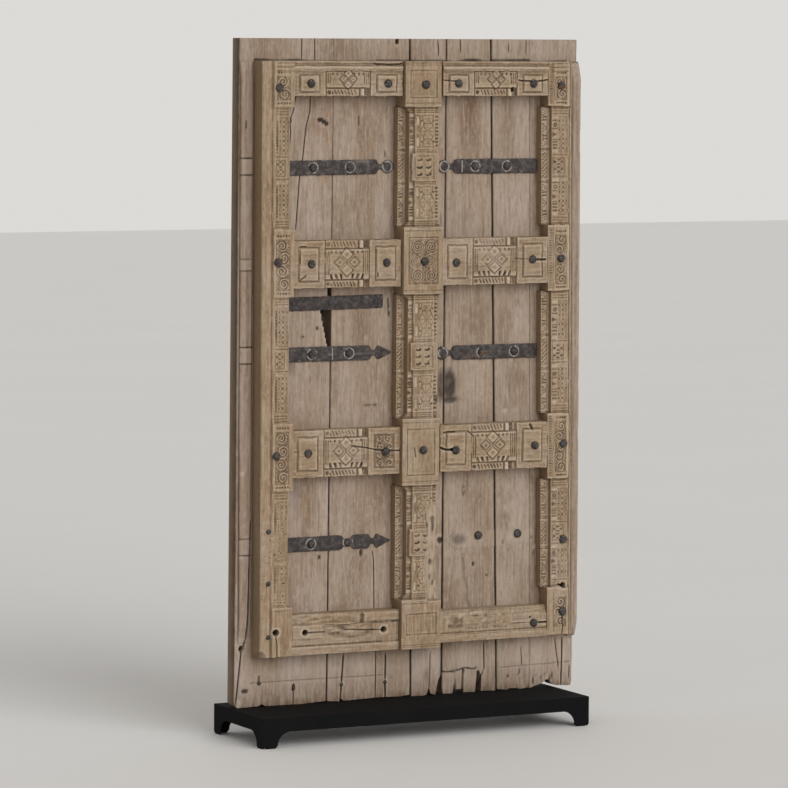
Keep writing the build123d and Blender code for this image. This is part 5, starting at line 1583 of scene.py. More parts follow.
@dataclass
class Post:
    """The centre post: stepped side bands, crossed stars, square blocks and broad end blocks."""

    name: str = "centre_post"
    left: float = 540.0
    right: float = 642.0
    centre: Point = (556.0, 626.0)
    band_proud: float = 52.0
    proud: float = 60.0
    square_proud: float = 62.0
    block_proud: float = 66.0
    block_edges: tuple[Point, ...] = ((519.0, 652.5), (518.0, 643.0), (518.0, 650.0), (520.0, 641.0))
    flare: float = 15.0

    def outline(self) -> list[Span]:
        """List the spans: the body flares out a little under and over each broad block.

        Returns:
            The spans from the foot up.
        """
        spans: list[Span] = []
        for index, ((foot, head), (left, right)) in enumerate(zip(LEFT_BLOCKS, self.block_edges)):
            if index:
                spans += [Span(foot - self.flare, self.left, self.right, self.band_proud),
                          Span(foot, left + 7, right - 3, self.band_proud)]
            spans += [Span(foot, left, right, self.block_proud), Span(head, left, right, self.block_proud)]
            if index < len(LEFT_BLOCKS) - 1:
                spans += [Span(head, left + 7, right - 3, self.band_proud),
                          Span(head + self.flare, self.left, self.right, self.band_proud)]
        return spans

    def carve_unit(self, carver: Carver, foot: float, head: float, bold: float) -> None:
        """Carve one unit: the sunburst, light upright bars beside it, and the two side bands.

        Args:
            carver: The carver of this face.
            foot: Its foot.
            head: Its head.
            bold: Darkness of its cuts.
        """
        centre_l, centre_r = self.centre
        window = carver.face.window(self.left, self.right, foot, head)
        window.sink(window.box(centre_l + 1, 571, foot + 2, head - 2), 1.8, 0.3)
        height = head - foot
        for share in (0.07, 0.68):
            bar = window.box(560.5, 569, foot + height * share, foot + height * (share + 0.25), 1.5)
            window.level(bar, self.proud)
            window.bleach(bar)
        carver.star(572, centre_r, foot + 3, head - 3)
        carver.side_band(self.left + 1, centre_l - 1, foot, head, bold)
        window.sink(window.box(centre_r + 0.5, centre_r + 2.5, foot, head), 2.4, 0.4)
        for v in np.linspace(foot + 9, head - 9, 9):
            window.sink(window.oval(634, float(v), 4.2, 3.0), 3.5, 0.95)

    def carve_square(self, carver: Carver, foot: float, head: float) -> None:
        """Carve a raised square: a rim, a sunk panel, and dark curved chips in two columns.

        Args:
            carver: The carver of this face.
            foot: Foot of the square.
            head: Head of the square.
        """
        window = carver.face.window(546, 629, foot, head)
        window.level(window.box(546, 629, foot, head, 0.6), self.square_proud)
        for inset in (4.0, 9.0):
            rim = window.box(546 + inset, 629 - inset, foot + inset, head - inset)
            inner = window.box(548 + inset, 627 - inset, foot + inset + 2, head - inset - 2)
            window.sink(rim * (1 - inner), 2.2, 0.4)
        for u in (572.0, 602.0):
            for step in range(3):
                v = foot + 19 + step * (head - foot - 38) / 2
                window.sink(window.oval(u, v, 11, 6) * (1 - window.oval(u - 3, v + 3, 8, 4)), 3.8, 0.9)
        window.crack([(598, foot + 16), (613, foot + 32)], 5, 3, 0.8)

    def carve_zone(self, carver: Carver, foot: float, head: float) -> None:
        """Carve one stretch of the post between two broad blocks.

        Args:
            carver: The carver of this face.
            foot: Its foot.
            head: Its head.
        """
        middle = (foot + head) / 2
        square = (middle - 41, middle + 41)
        centre = carver.face.window(*self.centre, foot, head)
        centre.level(centre.box(*self.centre, foot - 5, head + 5, 0.8), self.proud)
        carver.rings(self.left - 8, self.right + 4, foot + 5, 3, 6, 3.2)
        carver.rings(self.left - 8, self.right + 4, head - 17, 3, 6, 3.2)
        self.carve_square(carver, *square)
        for v0 in (square[0] - 10, square[1] + 4):
            carver.rings(self.centre[0], self.centre[1], v0, 2, 6)
        self.carve_unit(carver, foot + 22, square[0] - 14, 0.9)
        self.carve_unit(carver, square[1] + 14, head - 22, 0.4)

    def carve_blocks(self, carver: Carver) -> None:
        """Carve the broad blocks: panels with a bevelled line, and scrolls on the upper one.

        Args:
            carver: The carver of this face.
        """
        for index, ((foot, head), (left, right)) in enumerate(zip(LEFT_BLOCKS, self.block_edges)):
            rim_v = (42, 30, 30, 26)[index]
            window = carver.face.window(left + 16, right - 14, foot + rim_v, head - rim_v)
            window.sink(window.line_round(0, 2.6), 3.0, 0.5)
            if index == 2:
                carver.foliage(left + 20, right - 18, foot + 34, head - 38, 7.2)
            else:
                window.level(window.whole(6, 8) * 0.8, self.block_proud - 2.5)
            ends = carver.face.window(left, right, foot, head)
            for v in (foot + 5, foot + 11, head - 5, head - 11):
                ends.sink(ends.box(left + 2, right - 2, v - 1.2, v + 1.2), 2.0, 0.4)

    def wear_off(self, face: Face, weather: Weather) -> None:
        """Strip the carving from the right of the lower stretch, where the wood is bare and grey.

        Args:
            face: The face.
            weather: The noise of this face.
        """
        window = face.window(592, 642, 300, 620)
        edge = 604 + 8 * weather.at(window.v, window.u, 40, 300)
        bare = np.clip((window.u - edge) / 4, 0, 1) * np.clip((604 - window.v) / 20, 0, 1)
        rough = 49.5 + 2.2 * weather.at(window.u, window.v, 5, 22)
        rough += 1.4 * weather.at(window.u, window.v, 12, 50)
        window.w += (rough - window.w) * bare
        window.dirt *= 1 - bare
        window.pale += (0.3 - window.pale) * bare
        window.warm -= (window.warm + 0.5) * bare
        spots = np.clip(weather.at(window.u, window.v, 9, 22) * 3 - 0.4, 0, 1) * bare
        for foot, head in ((508, 590), (326, 430)):
            window.paint_dark(spots * window.box(600, 640, foot, head, 12) * 0.8)
        burnt = face.window(620, 645, 890, 1010)
        burnt.paint_dark(burnt.oval(646, 915, 26, 20, 0.6) * 0.9)

    def make(self, bench: Bench, finishes: Finishes, seed: int) -> None:
        """Make, dress and report the post.

        Args:
            bench: Where the door stands.
            finishes: The finishes.
            seed: Seed of its noise.
        """
        face = Face(self.outline(), 1.76, 1.93)
        carver, weather = Carver(face), Weather(seed)
        face.wobble(weather)
        for foot, head in zones_between(LEFT_BLOCKS):
            self.carve_zone(carver, foot, head)
        self.carve_blocks(carver)
        face.age(weather)
        self.wear_off(face, weather)
        window = face.all()
        window.crack([(560, 768), (564, 742)], 7, 3, 0.7)
        face.w = np.clip(face.w, 4, self.block_proud)
        piece = closed_piece(f"{self.name}_carved", bench, face, 0.0)
        dress(piece, finishes.carved, "carved_wood", 0.3, self.name)


class Panel(Enum):
    """What stands inside a boss of a rail."""

    PILLOW = "raised pillow"
    SCROLLS = "carved scrolls"


@dataclass
class Rail:
    """A rail between stile and post: two bosses and a carved middle on a plain ground."""

    name: str
    left: float
    right: float
    foot: float
    head: float
    panels: tuple[Panel, Panel] = (Panel.PILLOW, Panel.PILLOW)
    head_mould: float = 0.0
    ground: float = 44.0
    carved: float = 52.0
    ledge: float = 48.0
    pillow: float = 56.0
    boss_width: float = 108.0
    rim: float = 19.0
    cracks: tuple[tuple[tuple[Point, ...], float, float], ...] = ()
    pits: tuple[tuple[float, float, float], ...] = ()

    def carve_boss(self, carver: Carver, left: float, foot: float, head: float, panel: Panel) -> None:
        """Carve a boss: a broad rim with mitred corners, a narrow channel and a raised panel.

        Args:
            carver: The carver of this face.
            left: Left edge of the boss.
            foot: Its foot.
            head: Its head.
            panel: What stands inside it.
        """
        right = left + self.boss_width
        rim_v = self.rim if head - foot > 90 else 10.0
        window = carver.face.window(left, right, foot, head)
        window.level(window.whole(), self.carved)
        for u, way_u in ((left, 1), (right, -1)):
            for v, way_v in ((foot, 1), (head, -1)):
                window.sink(window.stroke([(u, v), (u + way_u * self.rim, v + way_v * rim_v)], 2.6), 1.0, 0.3)
        inner = window.box(left + self.rim, right - self.rim, foot + rim_v, head - rim_v)
        window.level(inner, self.ledge)
        # The sunk ledge round the panel is darkened a little: grime and painted shade.
        window.paint_dark(inner * 0.2)
        for inset in (4.0, 9.0):
            step_v = min(inset, rim_v - 4)
            line = window.outline(left + inset, right - inset, foot + step_v, head - step_v, 1.6)
            window.sink(line, 0.8, 0.2)
        sides = (left + self.rim + 3.5, right - self.rim - 3.5, foot + rim_v + 3.5, head - rim_v - 3.5)
        raised = window.box(*sides, 6.0)
        if panel is Panel.PILLOW:
            window.level(raised, self.pillow - 1)
            top = (sides[0] + 3, sides[1] - 3, sides[2] + 3, sides[3] - 3)
            window.level(window.box(*top, 4.0), self.pillow)
            window.bleach(raised * (1 - window.box(*top, 3)) * 0.35)
            window.dirt *= 1 - raised * 0.95
        else:
            window.level(raised, self.carved)
            carver.foliage(*sides)

    def carve_ledge(self, carver: Carver, left: float, foot: float, head: float, dirt: float) -> None:
        """Carve a ledge: slanted flutes, then a pale cube and a square of bare dark ground.

        Args:
            carver: The carver of this face.
            left: Its left edge.
            foot: Its foot.
            head: Its head.
            dirt: How dark its cuts are painted: grime and painted shade.
        """
        window = carver.face.window(left, left + 148, foot, head)
        window.level(window.box(left + 3, left + 112, foot, head), self.ledge)
        wave = np.sin(2 * math.pi * (window.u + 0.5 * (window.v - foot)) / 11.0)
        cut = np.clip(wave * 1.8 - 0.35, 0, 1) * window.box(left + 22, left + 106, foot + 4, head - 4, 2)
        window.sink(cut, 3.2, dirt)
        window.sink(window.disc(left + 12, (foot + head) / 2, 6), 3, dirt)
        cube = window.box(left + 116, left + 129, foot, head)
        window.level(cube, self.carved)
        window.bleach(cube * 0.9)
        ground = window.box(left + 130, left + 145, foot + 1, head - 1)
        window.level(ground, self.ground - 3)
        window.paint_dark(ground * 0.7)

    def carve_teeth(self, carver: Carver, left: float, foot: float, head: float, pale: float) -> None:
        """Carve a row of dark cells between small pale posts, with the middle left for the lozenge.

        Args:
            carver: The carver of this face.
            left: Its left edge.
            foot: Its foot.
            head: Its head.
            pale: How pale the posts are.
        """
        window = carver.face.window(left + 16, left + 132, foot, head)
        row = window.box(left + 18, left + 130, foot + 1, head - 1)
        away = np.abs(window.u - left - 74)
        cells = np.clip(np.sin(2 * math.pi * (away + (head - window.v) * 0.35) / 17.0) * 2 + 0.35, 0, 1)
        cells = cells * row * np.clip((away - 15) / 2, 0, 1)
        window.sink(cells, 4.5, 1.0)
        window.bleach(row * (1 - cells) * np.clip((away - 18) / 2, 0, 1) * pale)

    def carve_middle(self, carver: Carver, left: float, right: float, foot: float, head: float) -> None:
        """Carve the middle: ledges at foot and head, a field with side flutes, lozenges, dark cells.

        Args:
            carver: The carver of this face.
            left: Left end of the middle.
            right: Right end of the middle.
            foot: Its foot.
            head: Its head.
        """
        short = head - foot < 90
        low, high = foot + 25, head - (1 if short else 27)
        window = carver.face.window(left, right, foot, head)
        window.level(window.box(left + 1, right - 1, low, high), self.carved)
        self.carve_ledge(carver, left, foot, low - 3, 0.85)
        if not short:
            self.carve_ledge(carver, left, high + 3, head, 0.35)
        um, vm = left + 74, (low + high) / 2 + (1 if short else 6)
        reach = (high - low) / (2.1 if short else 2.7)
        field = 1 - (np.abs(window.u - um) + np.abs(window.v - vm)) / (reach * 1.35)
        window.sink(np.clip(1.3 - np.abs(field) * reach / 1.6, 0, 1), 2.0, 0.3)
        for u0, u1, count in ((left + 3, left + 17, 2), (right - 24, right - 3, 3)):
            carver.flutes(u0, u1, low + 12, high - 4, count, True, 3.0, 0.5)
        for index in range(8):
            u = left + 22 + index * 14.5
            window.sink(window.lozenge(u, high - 8, 4.5, 6, 2.5), 3.6, 0.8)
        if not short:
            self.carve_teeth(carver, left, low, low + 17, 0.5)
        for way_u, way_v in ((0, 1), (0, -1), (1, 0), (-1, 0)):
            half_u, half_v = (0.62, 0.56) if way_v else (0.5, 0.44)
            u, v = um + way_u * reach * 0.72, vm + way_v * reach * 0.72
            size = (reach * half_u, reach * half_v)
            window.sink(window.lozenge(u, v, size[0] + 4, size[1] + 4, 1.5), 2.8, 0.45)
            raised = window.lozenge(u, v, *size, 2)
            window.level(raised, self.carved)
            window.dirt *= 1 - raised
            window.bleach(raised * (0.45 if way_v else 0.1))
            window.sink(window.lozenge(u, v, size[0] * 0.42, size[1] * 0.42, 1.5), 2.0, 0.4)
        window.sink(window.disc(um, vm, 3.0), 2.4, 0.6)

    def make(self, bench: Bench, finishes: Finishes, seed: int) -> None:
        """Make, dress and report the rail.

        Args:
            bench: Where the door stands.
            finishes: The finishes.
            seed: Seed of its noise.
        """
        spans = [Span(self.foot, self.left, self.right, self.ground), Span(self.head, self.left, self.right)]
        face = Face(spans, 1.87, 1.77)
        carver, weather = Carver(face), Weather(seed)
        face.wobble(weather)
        carve_top = self.head - self.head_mould
        inner_l, inner_r = self.left + self.boss_width, self.right - self.boss_width
        for left, panel in zip((self.left, inner_r), self.panels):
            self.carve_boss(carver, left, self.foot, carve_top, panel)
        self.carve_middle(carver, inner_l, inner_r, self.foot, carve_top)
        window = face.all()
        if self.head_mould:
            middle, ends = carve_top + self.head_mould / 2, (self.left - 5, self.right + 5)
            window.level(window.box(*ends, carve_top, middle, 2), self.pillow)
            window.level(window.box(*ends, middle + 1, self.head + 5, 2), self.ledge + 2)
            for v in (carve_top + 4, middle + 7):
                window.sink(window.box(*ends, v - 1.2, v + 1.2), 2.0, 0.5)
        face.age(weather)
        for line, width, depth in self.cracks:
            window.crack(line, width, depth)
        # The pits are painted near black inside: painted shade in the holes.
        for u, v, radius in self.pits:
            window.sink(window.disc(u, v, radius, 2), 12, 1.0)
        face.w = np.clip(face.w, 4, self.pillow)
        piece = closed_piece(f"{self.name}_carved", bench, face, 0.0)
        dress(piece, finishes.rail, "carved_wood", seed % 4 / 4, self.name)


@dataclass
class BottomRail:
    """A worn bottom rail: a broad face between a foot moulding and a broken head moulding."""

    name: str
    left: float
    right: float
    foot: float
    head: float
    broken_left: bool
    ground: float = 44.0
    carved: float = 52.0
    ledge: float = 48.0

    def make(self, bench: Bench, finishes: Finishes, seed: int) -> None:
        """Make, dress and report the rail.

        Args:
            bench: Where the door stands.
            finishes: The finishes.
            seed: Seed of its noise.
        """
        spans = [Span(self.foot, self.left, self.right, self.ledge), Span(self.head, self.left, self.right)]
        face = Face(spans, 2.0, 1.9)
        weather, window = Weather(seed), face.all()
        left, right, foot, head = self.left, self.right, self.foot, self.head
        window.level(window.box(left - 5, right + 5, foot - 5, foot + 24, 3), self.carved - 0.5)
        for v in (foot + 27,) if self.broken_left else (foot + 21, foot + 27):
            window.sink(window.box(left - 5, right + 5, v - 1.3, v + 1.3), 2.4, 0.55)
        if self.broken_left:
            self.wear_left(window, weather)
        else:
            self.wear_right(window, weather)
        face.age(weather, 0.55, 0.7)
        self.scar(window)
        face.w = np.clip(face.w, 4, self.carved)
        piece = closed_piece(f"{self.name}_worn", bench, face, 0.0)
        dress(piece, finishes.rail, "carved_wood", 0.8 if self.broken_left else 0.95, self.name)

    def wear_left(self, window: Window, weather: Weather) -> None:
        """Wear the left leaf's rail: its head moulding is left only at the right end, with painted shadow
        under it and painted shade at its left end.

        Args:
            window: The whole face.
            weather: The noise of this face.
        """
        gone = window.box(150, 399, 245, 300, 6)
        rough = 43.0 + 2.4 * weather.at(window.u, window.v, 34, 9)
        rough += 1.2 * weather.at(window.u, window.v, 11, 6)
        window.w += (rough - window.w) * gone
        window.level(window.box(400, 522, 247, 273, 3), self.carved - 0.5)
        # Painted shadow: a dark band just under the remaining head moulding.
        window.paint_dark(window.box(400, 522, 240, 246, 2) * 0.85)
        # Painted shade on the sunk left end of the head moulding.
        window.level(window.box(388, 400, 243, 268, 2), 40)
        window.paint_dark(window.box(389, 398, 245, 266, 3) * 0.7)
        for u0, u1 in ((160, 262), (428, 512)):
            panel = window.box(u0, u1, 202, 245, 1.5)
            window.w += (self.ledge + 1.2 - window.w) * panel
            window.sink(panel * (1 - window.box(u0 + 2, u1 - 2, 204, 243)), 1.6, 0.4)
        scrap = window.box(262, 428, 200, 240, 6)
        window.w -= scrap * (1.6 + 2.2 * weather.at(window.u, window.v, 22, 8))
        window.paint_dark(np.clip(weather.at(window.u, window.v, 24, 7) * 3 - 1.1, 0, 1) * scrap * 0.6)

    def wear_right(self, window: Window, weather: Weather) -> None:
        """Wear the right leaf's rail: sunk rubbed panels, faint carving and a rounded upper end.

        Args:
            window: The whole face.
            weather: The noise of this face.
        """
        lumps = weather.at(window.u, window.v, 17, 9)
        window.w -= window.box(670, 905, 200, 262, 6) * (1.4 + 1.8 * lumps)
        window.bleach(np.clip(lumps * 2.5 - 0.9, 0, 1) * window.box(670, 905, 222, 262, 6) * 0.8)
        window.sink(window.box(690, 740, 208, 240, 8), 3.5, 0.2)
        window.tint(window.oval(720, 224, 26, 18, 0.6), 0.9)
        for u in np.linspace(760, 900, 12):
            window.sink(window.disc(float(u), 205, 2.0), 2.0, 0.7)
        window.sink(window.stroke([(850, 232), (850, 202)], 3), 1.5, 0.4)
        for way in (-1, 1):
            window.sink(window.stroke([(850 - way * 22, 230), (850 + way * 22, 204)], 3), 1.5, 0.45)
            window.sink(window.ring(850 + way * 34, 212, 9, 2), 1.5, 0.5)
        for u0, u1, v0, v1 in ((760, 905, 242, 262), (912, 1010, 200, 246)):
            window.sink(window.outline(u0, u1, v0, v1), 1.4, 0.35)
        window.w -= np.clip((window.u - 960) / 60, 0, 1) ** 2 * np.clip((window.v - 236) / 28, 0, 1) * 14

    def scar(self, window: Window) -> None:
        """Open the cracks and the holes of the lost studs.

        Args:
            window: The whole face.
        """
        if self.broken_left:
            # The holes of lost studs are painted near black inside: painted shade in the holes.
            for u, v in ((203, 223), (467, 219)):
                window.sink(window.disc(u, v, 8, 3), 30, 1.0)
            window.crack([(212, 222), (240, 223), (270, 222)], 4, 6)
            window.crack([(337, 226), (390, 222), (458, 219)], 4, 6)
            window.crack([(270, 244), (330, 240), (398, 243)], 3, 4, 0.7)
        else:
            window.crack([(1003, 211), (1029, 211)], 7, 9)
            window.crack([(902, 214), (975, 212)], 2.6, 3, 0.8)
            window.sink(window.disc(972, 229, 3), 6, 1.0)


@dataclass
class InnerStrip:
    """A low carved strip in three lengths beside a panel."""

    name: str
    left: float
    right: float
    foot: float
    head: float
    lean: float = 0.0
    proud: float = 28.0

    def make(self, bench: Bench, finishes: Finishes, seed: int) -> None:
        """Make the strip: three lengths, the outer two with flutes round a notch, the middle slanted.

        Args:
            bench: Where the door stands.
            finishes: The finishes.
            seed: Seed of its noise.
        """
        spans = [Span(self.foot, self.left, self.right, self.proud), Span(self.head, self.left, self.right)]
        face = Face(spans, 1.6, 1.88)
        carver, weather = Carver(face), Weather(seed)
        face.wobble(weather, 0.7)
        window = face.all()
        height = self.head - self.foot
        cuts = (self.foot, self.foot + height * 0.36, self.foot + height * 0.64, self.head)
        rim = self.right - 8
        window.sink(window.box(rim - 1.0, rim + 0.8, self.foot, self.head), 2.2, 0.35)
        for index, (low, high) in enumerate(zip(cuts, cuts[1:])):
            if index == 1:
                slant = (window.v - window.u * 1.1) / 13.0
                wave = np.clip(np.sin(2 * math.pi * slant) * 1.6, 0, 1)
                window.sink(wave * window.box(self.left + 3, rim - 1, low + 10, high - 10, 2), 2.8, 0.4)
            else:
                self.carve_length(carver, low, high, rim)
            for v in (low + 2.5, high - 2.5):
                end = carver.face.window(self.left, self.right, v - 4, v + 4)
                end.sink(end.box(self.left - 1, self.right + 1, v - 1, v + 1), 2.6, 0.6)
            caps = carver.face.window(self.left, self.right, low, high)
            for v in (low + 8, high - 8):
                caps.bleach(caps.box(self.left, self.right, v - 4, v + 4) * 0.5)
        serrated = np.clip(np.sin(2 * math.pi * window.v / 8.5) * 2, 0, 1)
        edge = window.box(self.left + 2.6, self.left + 6.4, self.foot, self.head)
        window.sink(serrated * edge, 2.6, 0.5)
        window.bleach((1 - serrated) * edge * 0.8)
        face.age(weather, 0.3, 0.45)
        face.w = np.clip(face.w, 4, self.proud)
        face.u += self.lean * (FRAME_HEAD - face.v)
        piece = closed_piece(f"{self.name}_carved", bench, face, 0.0)
        dress(piece, finishes.carved, "carved_wood", seed % 3 / 3, self.name)

    def carve_length(self, carver: Carver, low: float, high: float, rim: float) -> None:
        """Carve one outer length: curved leaf ends, level flutes, and a zigzag between them.

        Args:
            carver: The carver of this face.
            low: Foot of the length.
            high: Head of the length.
            rim: Left edge of its plain rim.
        """
        left, middle, height = self.left + 4, (low + high) / 2, high - low
        window = carver.face.window(left - 1, rim, low, high)
        for way in (-1, 1):
            place = middle + way * height * 0.22
            carver.flutes(left, rim - 1, place - 9, place + 9, 2, False, 3.2, 0.65)
            tip = middle + way * height * 0.41
            window.sink(window.ring(left + 1, tip - way * 6, 9, 2.2), 2.8, 0.5)
            window.sink(window.stroke([(left, middle + way * 13), (rim - 2, middle + way * 1)], 4), 3.4, 0.7)
        window.chip([(left, middle - 7), (rim - 4, middle), (left, middle + 7)], 4.0, 0.55)


@dataclass
class Strap:
    """A flat iron bar: half widths along its length, its worn rings and its lie."""

    name: str
    start: float
    middle: float
    lie: Lie
    profile: tuple[Point, ...]
    rings: tuple[float, ...]
    lines: tuple[float, ...] = ()
    tilt: float = 0.0
    thick: float = 6.0

    def make(self, bench: Bench, finishes: Finishes, seed: int) -> None:
        """Make the bar: at each place along it the half width is read from its smooth profile.

        Its faces fall off near the edges with the sixth power of the share across, and pits and
        dents come from noise.

        Args:
            bench: Where the door stands.
            finishes: The finishes.
            seed: Seed of its noise.
        """
        weather = Weather(seed)
        length = self.profile[-1][0]
        along = np.linspace(0, length, round(length / 1.8) + 1)
        half = np.interp(along, [place for place, _ in self.profile], [width for _, width in self.profile])
        half = half + 0.7 * weather.at(along, along * 0, 9, 1) + 0.5 * weather.at(along, along * 0, 3.5, 1)
        half = np.maximum(half, 1.2)
        share = np.linspace(-1, 1, 27)
        face = Face([Span(0, 0, 1), Span(1, 0, 1)], 1.0, 1.0)
        way = -1 if self.lie is Lie.TO_RIGHT else 1
        face.u = half[:, None] * share + way * (self.middle + self.tilt * (along[:, None] - length / 2))
        offset = self.start if self.lie is Lie.TO_RIGHT else -self.start
        face.v = np.repeat((offset + along)[:, None], len(share), axis=1)
        edge = np.abs(share) ** 6
        face.w = self.thick - 1.0 - 1.8 * edge + np.zeros_like(face.u)
        face.w += 0.45 * weather.at(face.u, face.v, 14, 22) + 0.3 * weather.at(face.u, face.v, 3.3, 3.9)
        face.w -= np.clip(weather.at(face.u, face.v, 6.1, 5.3) * 3 - 1.7, 0, 1) * 1.2
        face.dirt, face.pale, face.warm, face.off_u, face.off_v = np.zeros((5, *face.u.shape))
        window = face.all()
        centre = way * self.middle
        for place in self.rings:
            ring = window.ring(centre + way * self.tilt * (place - length / 2), offset + place, 15.5, 3.4)
            patchy = np.clip(0.65 + weather.at(face.u, face.v, 8, 8), 0, 1)
            window.bleach(ring * patchy)
            window.w += ring * 0.5
        for place in self.lines:
            line = window.box(centre - 18, centre + 18, offset + place - 1.5, offset + place + 1.5)
            window.bleach(line * 0.8)
        window.bleach(np.clip(weather.at(face.u, face.v, 17, 25) * 2 - 1.2, 0, 1) * 0.35)
        face.w = np.clip(face.w, 1.2, self.thick)
        piece = closed_piece(f"{self.name}_forged", bench, face, 0.2, self.lie, 3)
        dress(piece, finishes.strap, "strap_iron", 0.5, self.name)


@dataclass(frozen=True)
class Head:
    """One stud or nail: where it sits and how high its seat is."""

    u: float
    v: float
    seat: float
    size: float = 1.0


@dataclass
class Fasteners:
    """A group of like studs or nails in one piece: hammered heads on straight shanks."""

    name: str
    places: tuple[Head, ...]
    radius: float = 13.0
    rise: float = 9.0
    shank: float = 4.0
    bite: float = 34.0
    around: int = 20

    def profile(self) -> np.ndarray:
        """List the radius and height of each ring of a head and its shank, from the crown down.

        Over the dome the height is rise * cos(share * 90 degrees) ** 0.8 and the radius is
        radius * sin(share * 90 degrees), so that the rim stands up steeply.

        Returns:
            One row of radius and height for each ring.
        """
        share = np.linspace(0.08, 1, 7) * math.pi / 2
        dome = np.stack((self.radius * np.sin(share), self.rise * np.maximum(np.cos(share), 0) ** 0.8), -1)
        stem = np.array([[self.radius * 0.97, -0.6], [self.shank, -0.6]])
        return np.concatenate((dome, stem))

    def make(self, bench: Bench, finishes: Finishes, seed: int) -> None:
        """Make all heads at once: each ring is the profile's radius times a wavy circle.

        Args:
            bench: Where the door stands.
            finishes: The finishes.
            seed: Seed of the hammer marks.
        """
        rng = np.random.default_rng(seed)
        profile, count = self.profile(), len(self.places)
        angle = np.arange(self.around) / self.around * 2 * math.pi
        rings = len(profile) + 1
        radius = np.append(profile[:, 0], self.shank)[None, :, None]
        height = np.append(profile[:, 1], 0.0)[None, :, None]
        wobble = 1 + 0.05 * rng.standard_normal((count, 1, self.around))
        wobble = (wobble + np.roll(wobble, 1, axis=2)) / 2
        u = np.array([head.u for head in self.places])[:, None, None]
        v = np.array([head.v for head in self.places])[:, None, None]
        seat = np.array([head.seat for head in self.places])[:, None, None]
        dents = 1 - 0.14 * rng.random((count, rings, self.around))
        size = np.array([head.size for head in self.places])[:, None, None]
        reach = np.where(radius > self.shank, radius * np.minimum(wobble, 1.04) * size, radius)
        w = seat + np.where(height > 0, height * dents * size, height) + np.zeros((count, rings, self.around))
        w[:, -1, :] = -self.bite
        points_u = u + reach * np.cos(angle)
        points_v = v + reach * np.sin(angle)
        ringed = bench.place(points_u + w * 0, points_v + w * 0, w).reshape(-1, 3)
        caps_w = np.stack((seat[:, 0, 0] + self.rise * 0.97 * size[:, 0, 0], np.full(count, -self.bite)), 1)
        caps = bench.place(np.repeat(u[:, 0], 2, 1), np.repeat(v[:, 0], 2, 1), caps_w).reshape(-1, 3)
        index = np.arange(count * rings * self.around).reshape(count, rings, self.around)
        after = np.roll(index, -1, axis=2)
        sides = np.stack((index[:, :-1], index[:, 1:], after[:, 1:], after[:, :-1]), -1).reshape(-1, 4)
        crown = len(ringed) + np.arange(count)[:, None] * 2 + np.zeros((1, self.around), int)
        crowns = np.stack((crown, index[:, 0], after[:, 0]), -1).reshape(-1, 3)
        tips = np.stack((crown + 1, after[:, -1], index[:, -1]), -1).reshape(-1, 3)
        piece = write_mesh(f"{self.name}_hammered", np.concatenate((ringed, caps)), [sides, crowns, tips])
        # Painted glints: random pale flecks on the stud heads.
        painted_glints = np.clip(rng.random(len(piece.data.vertices)) * 2 - 1.6, 0, 1)
        add_attribute(piece, "pale", painted_glints)
        dress(piece, finishes.stud, "stud_iron", 0.5, self.name)


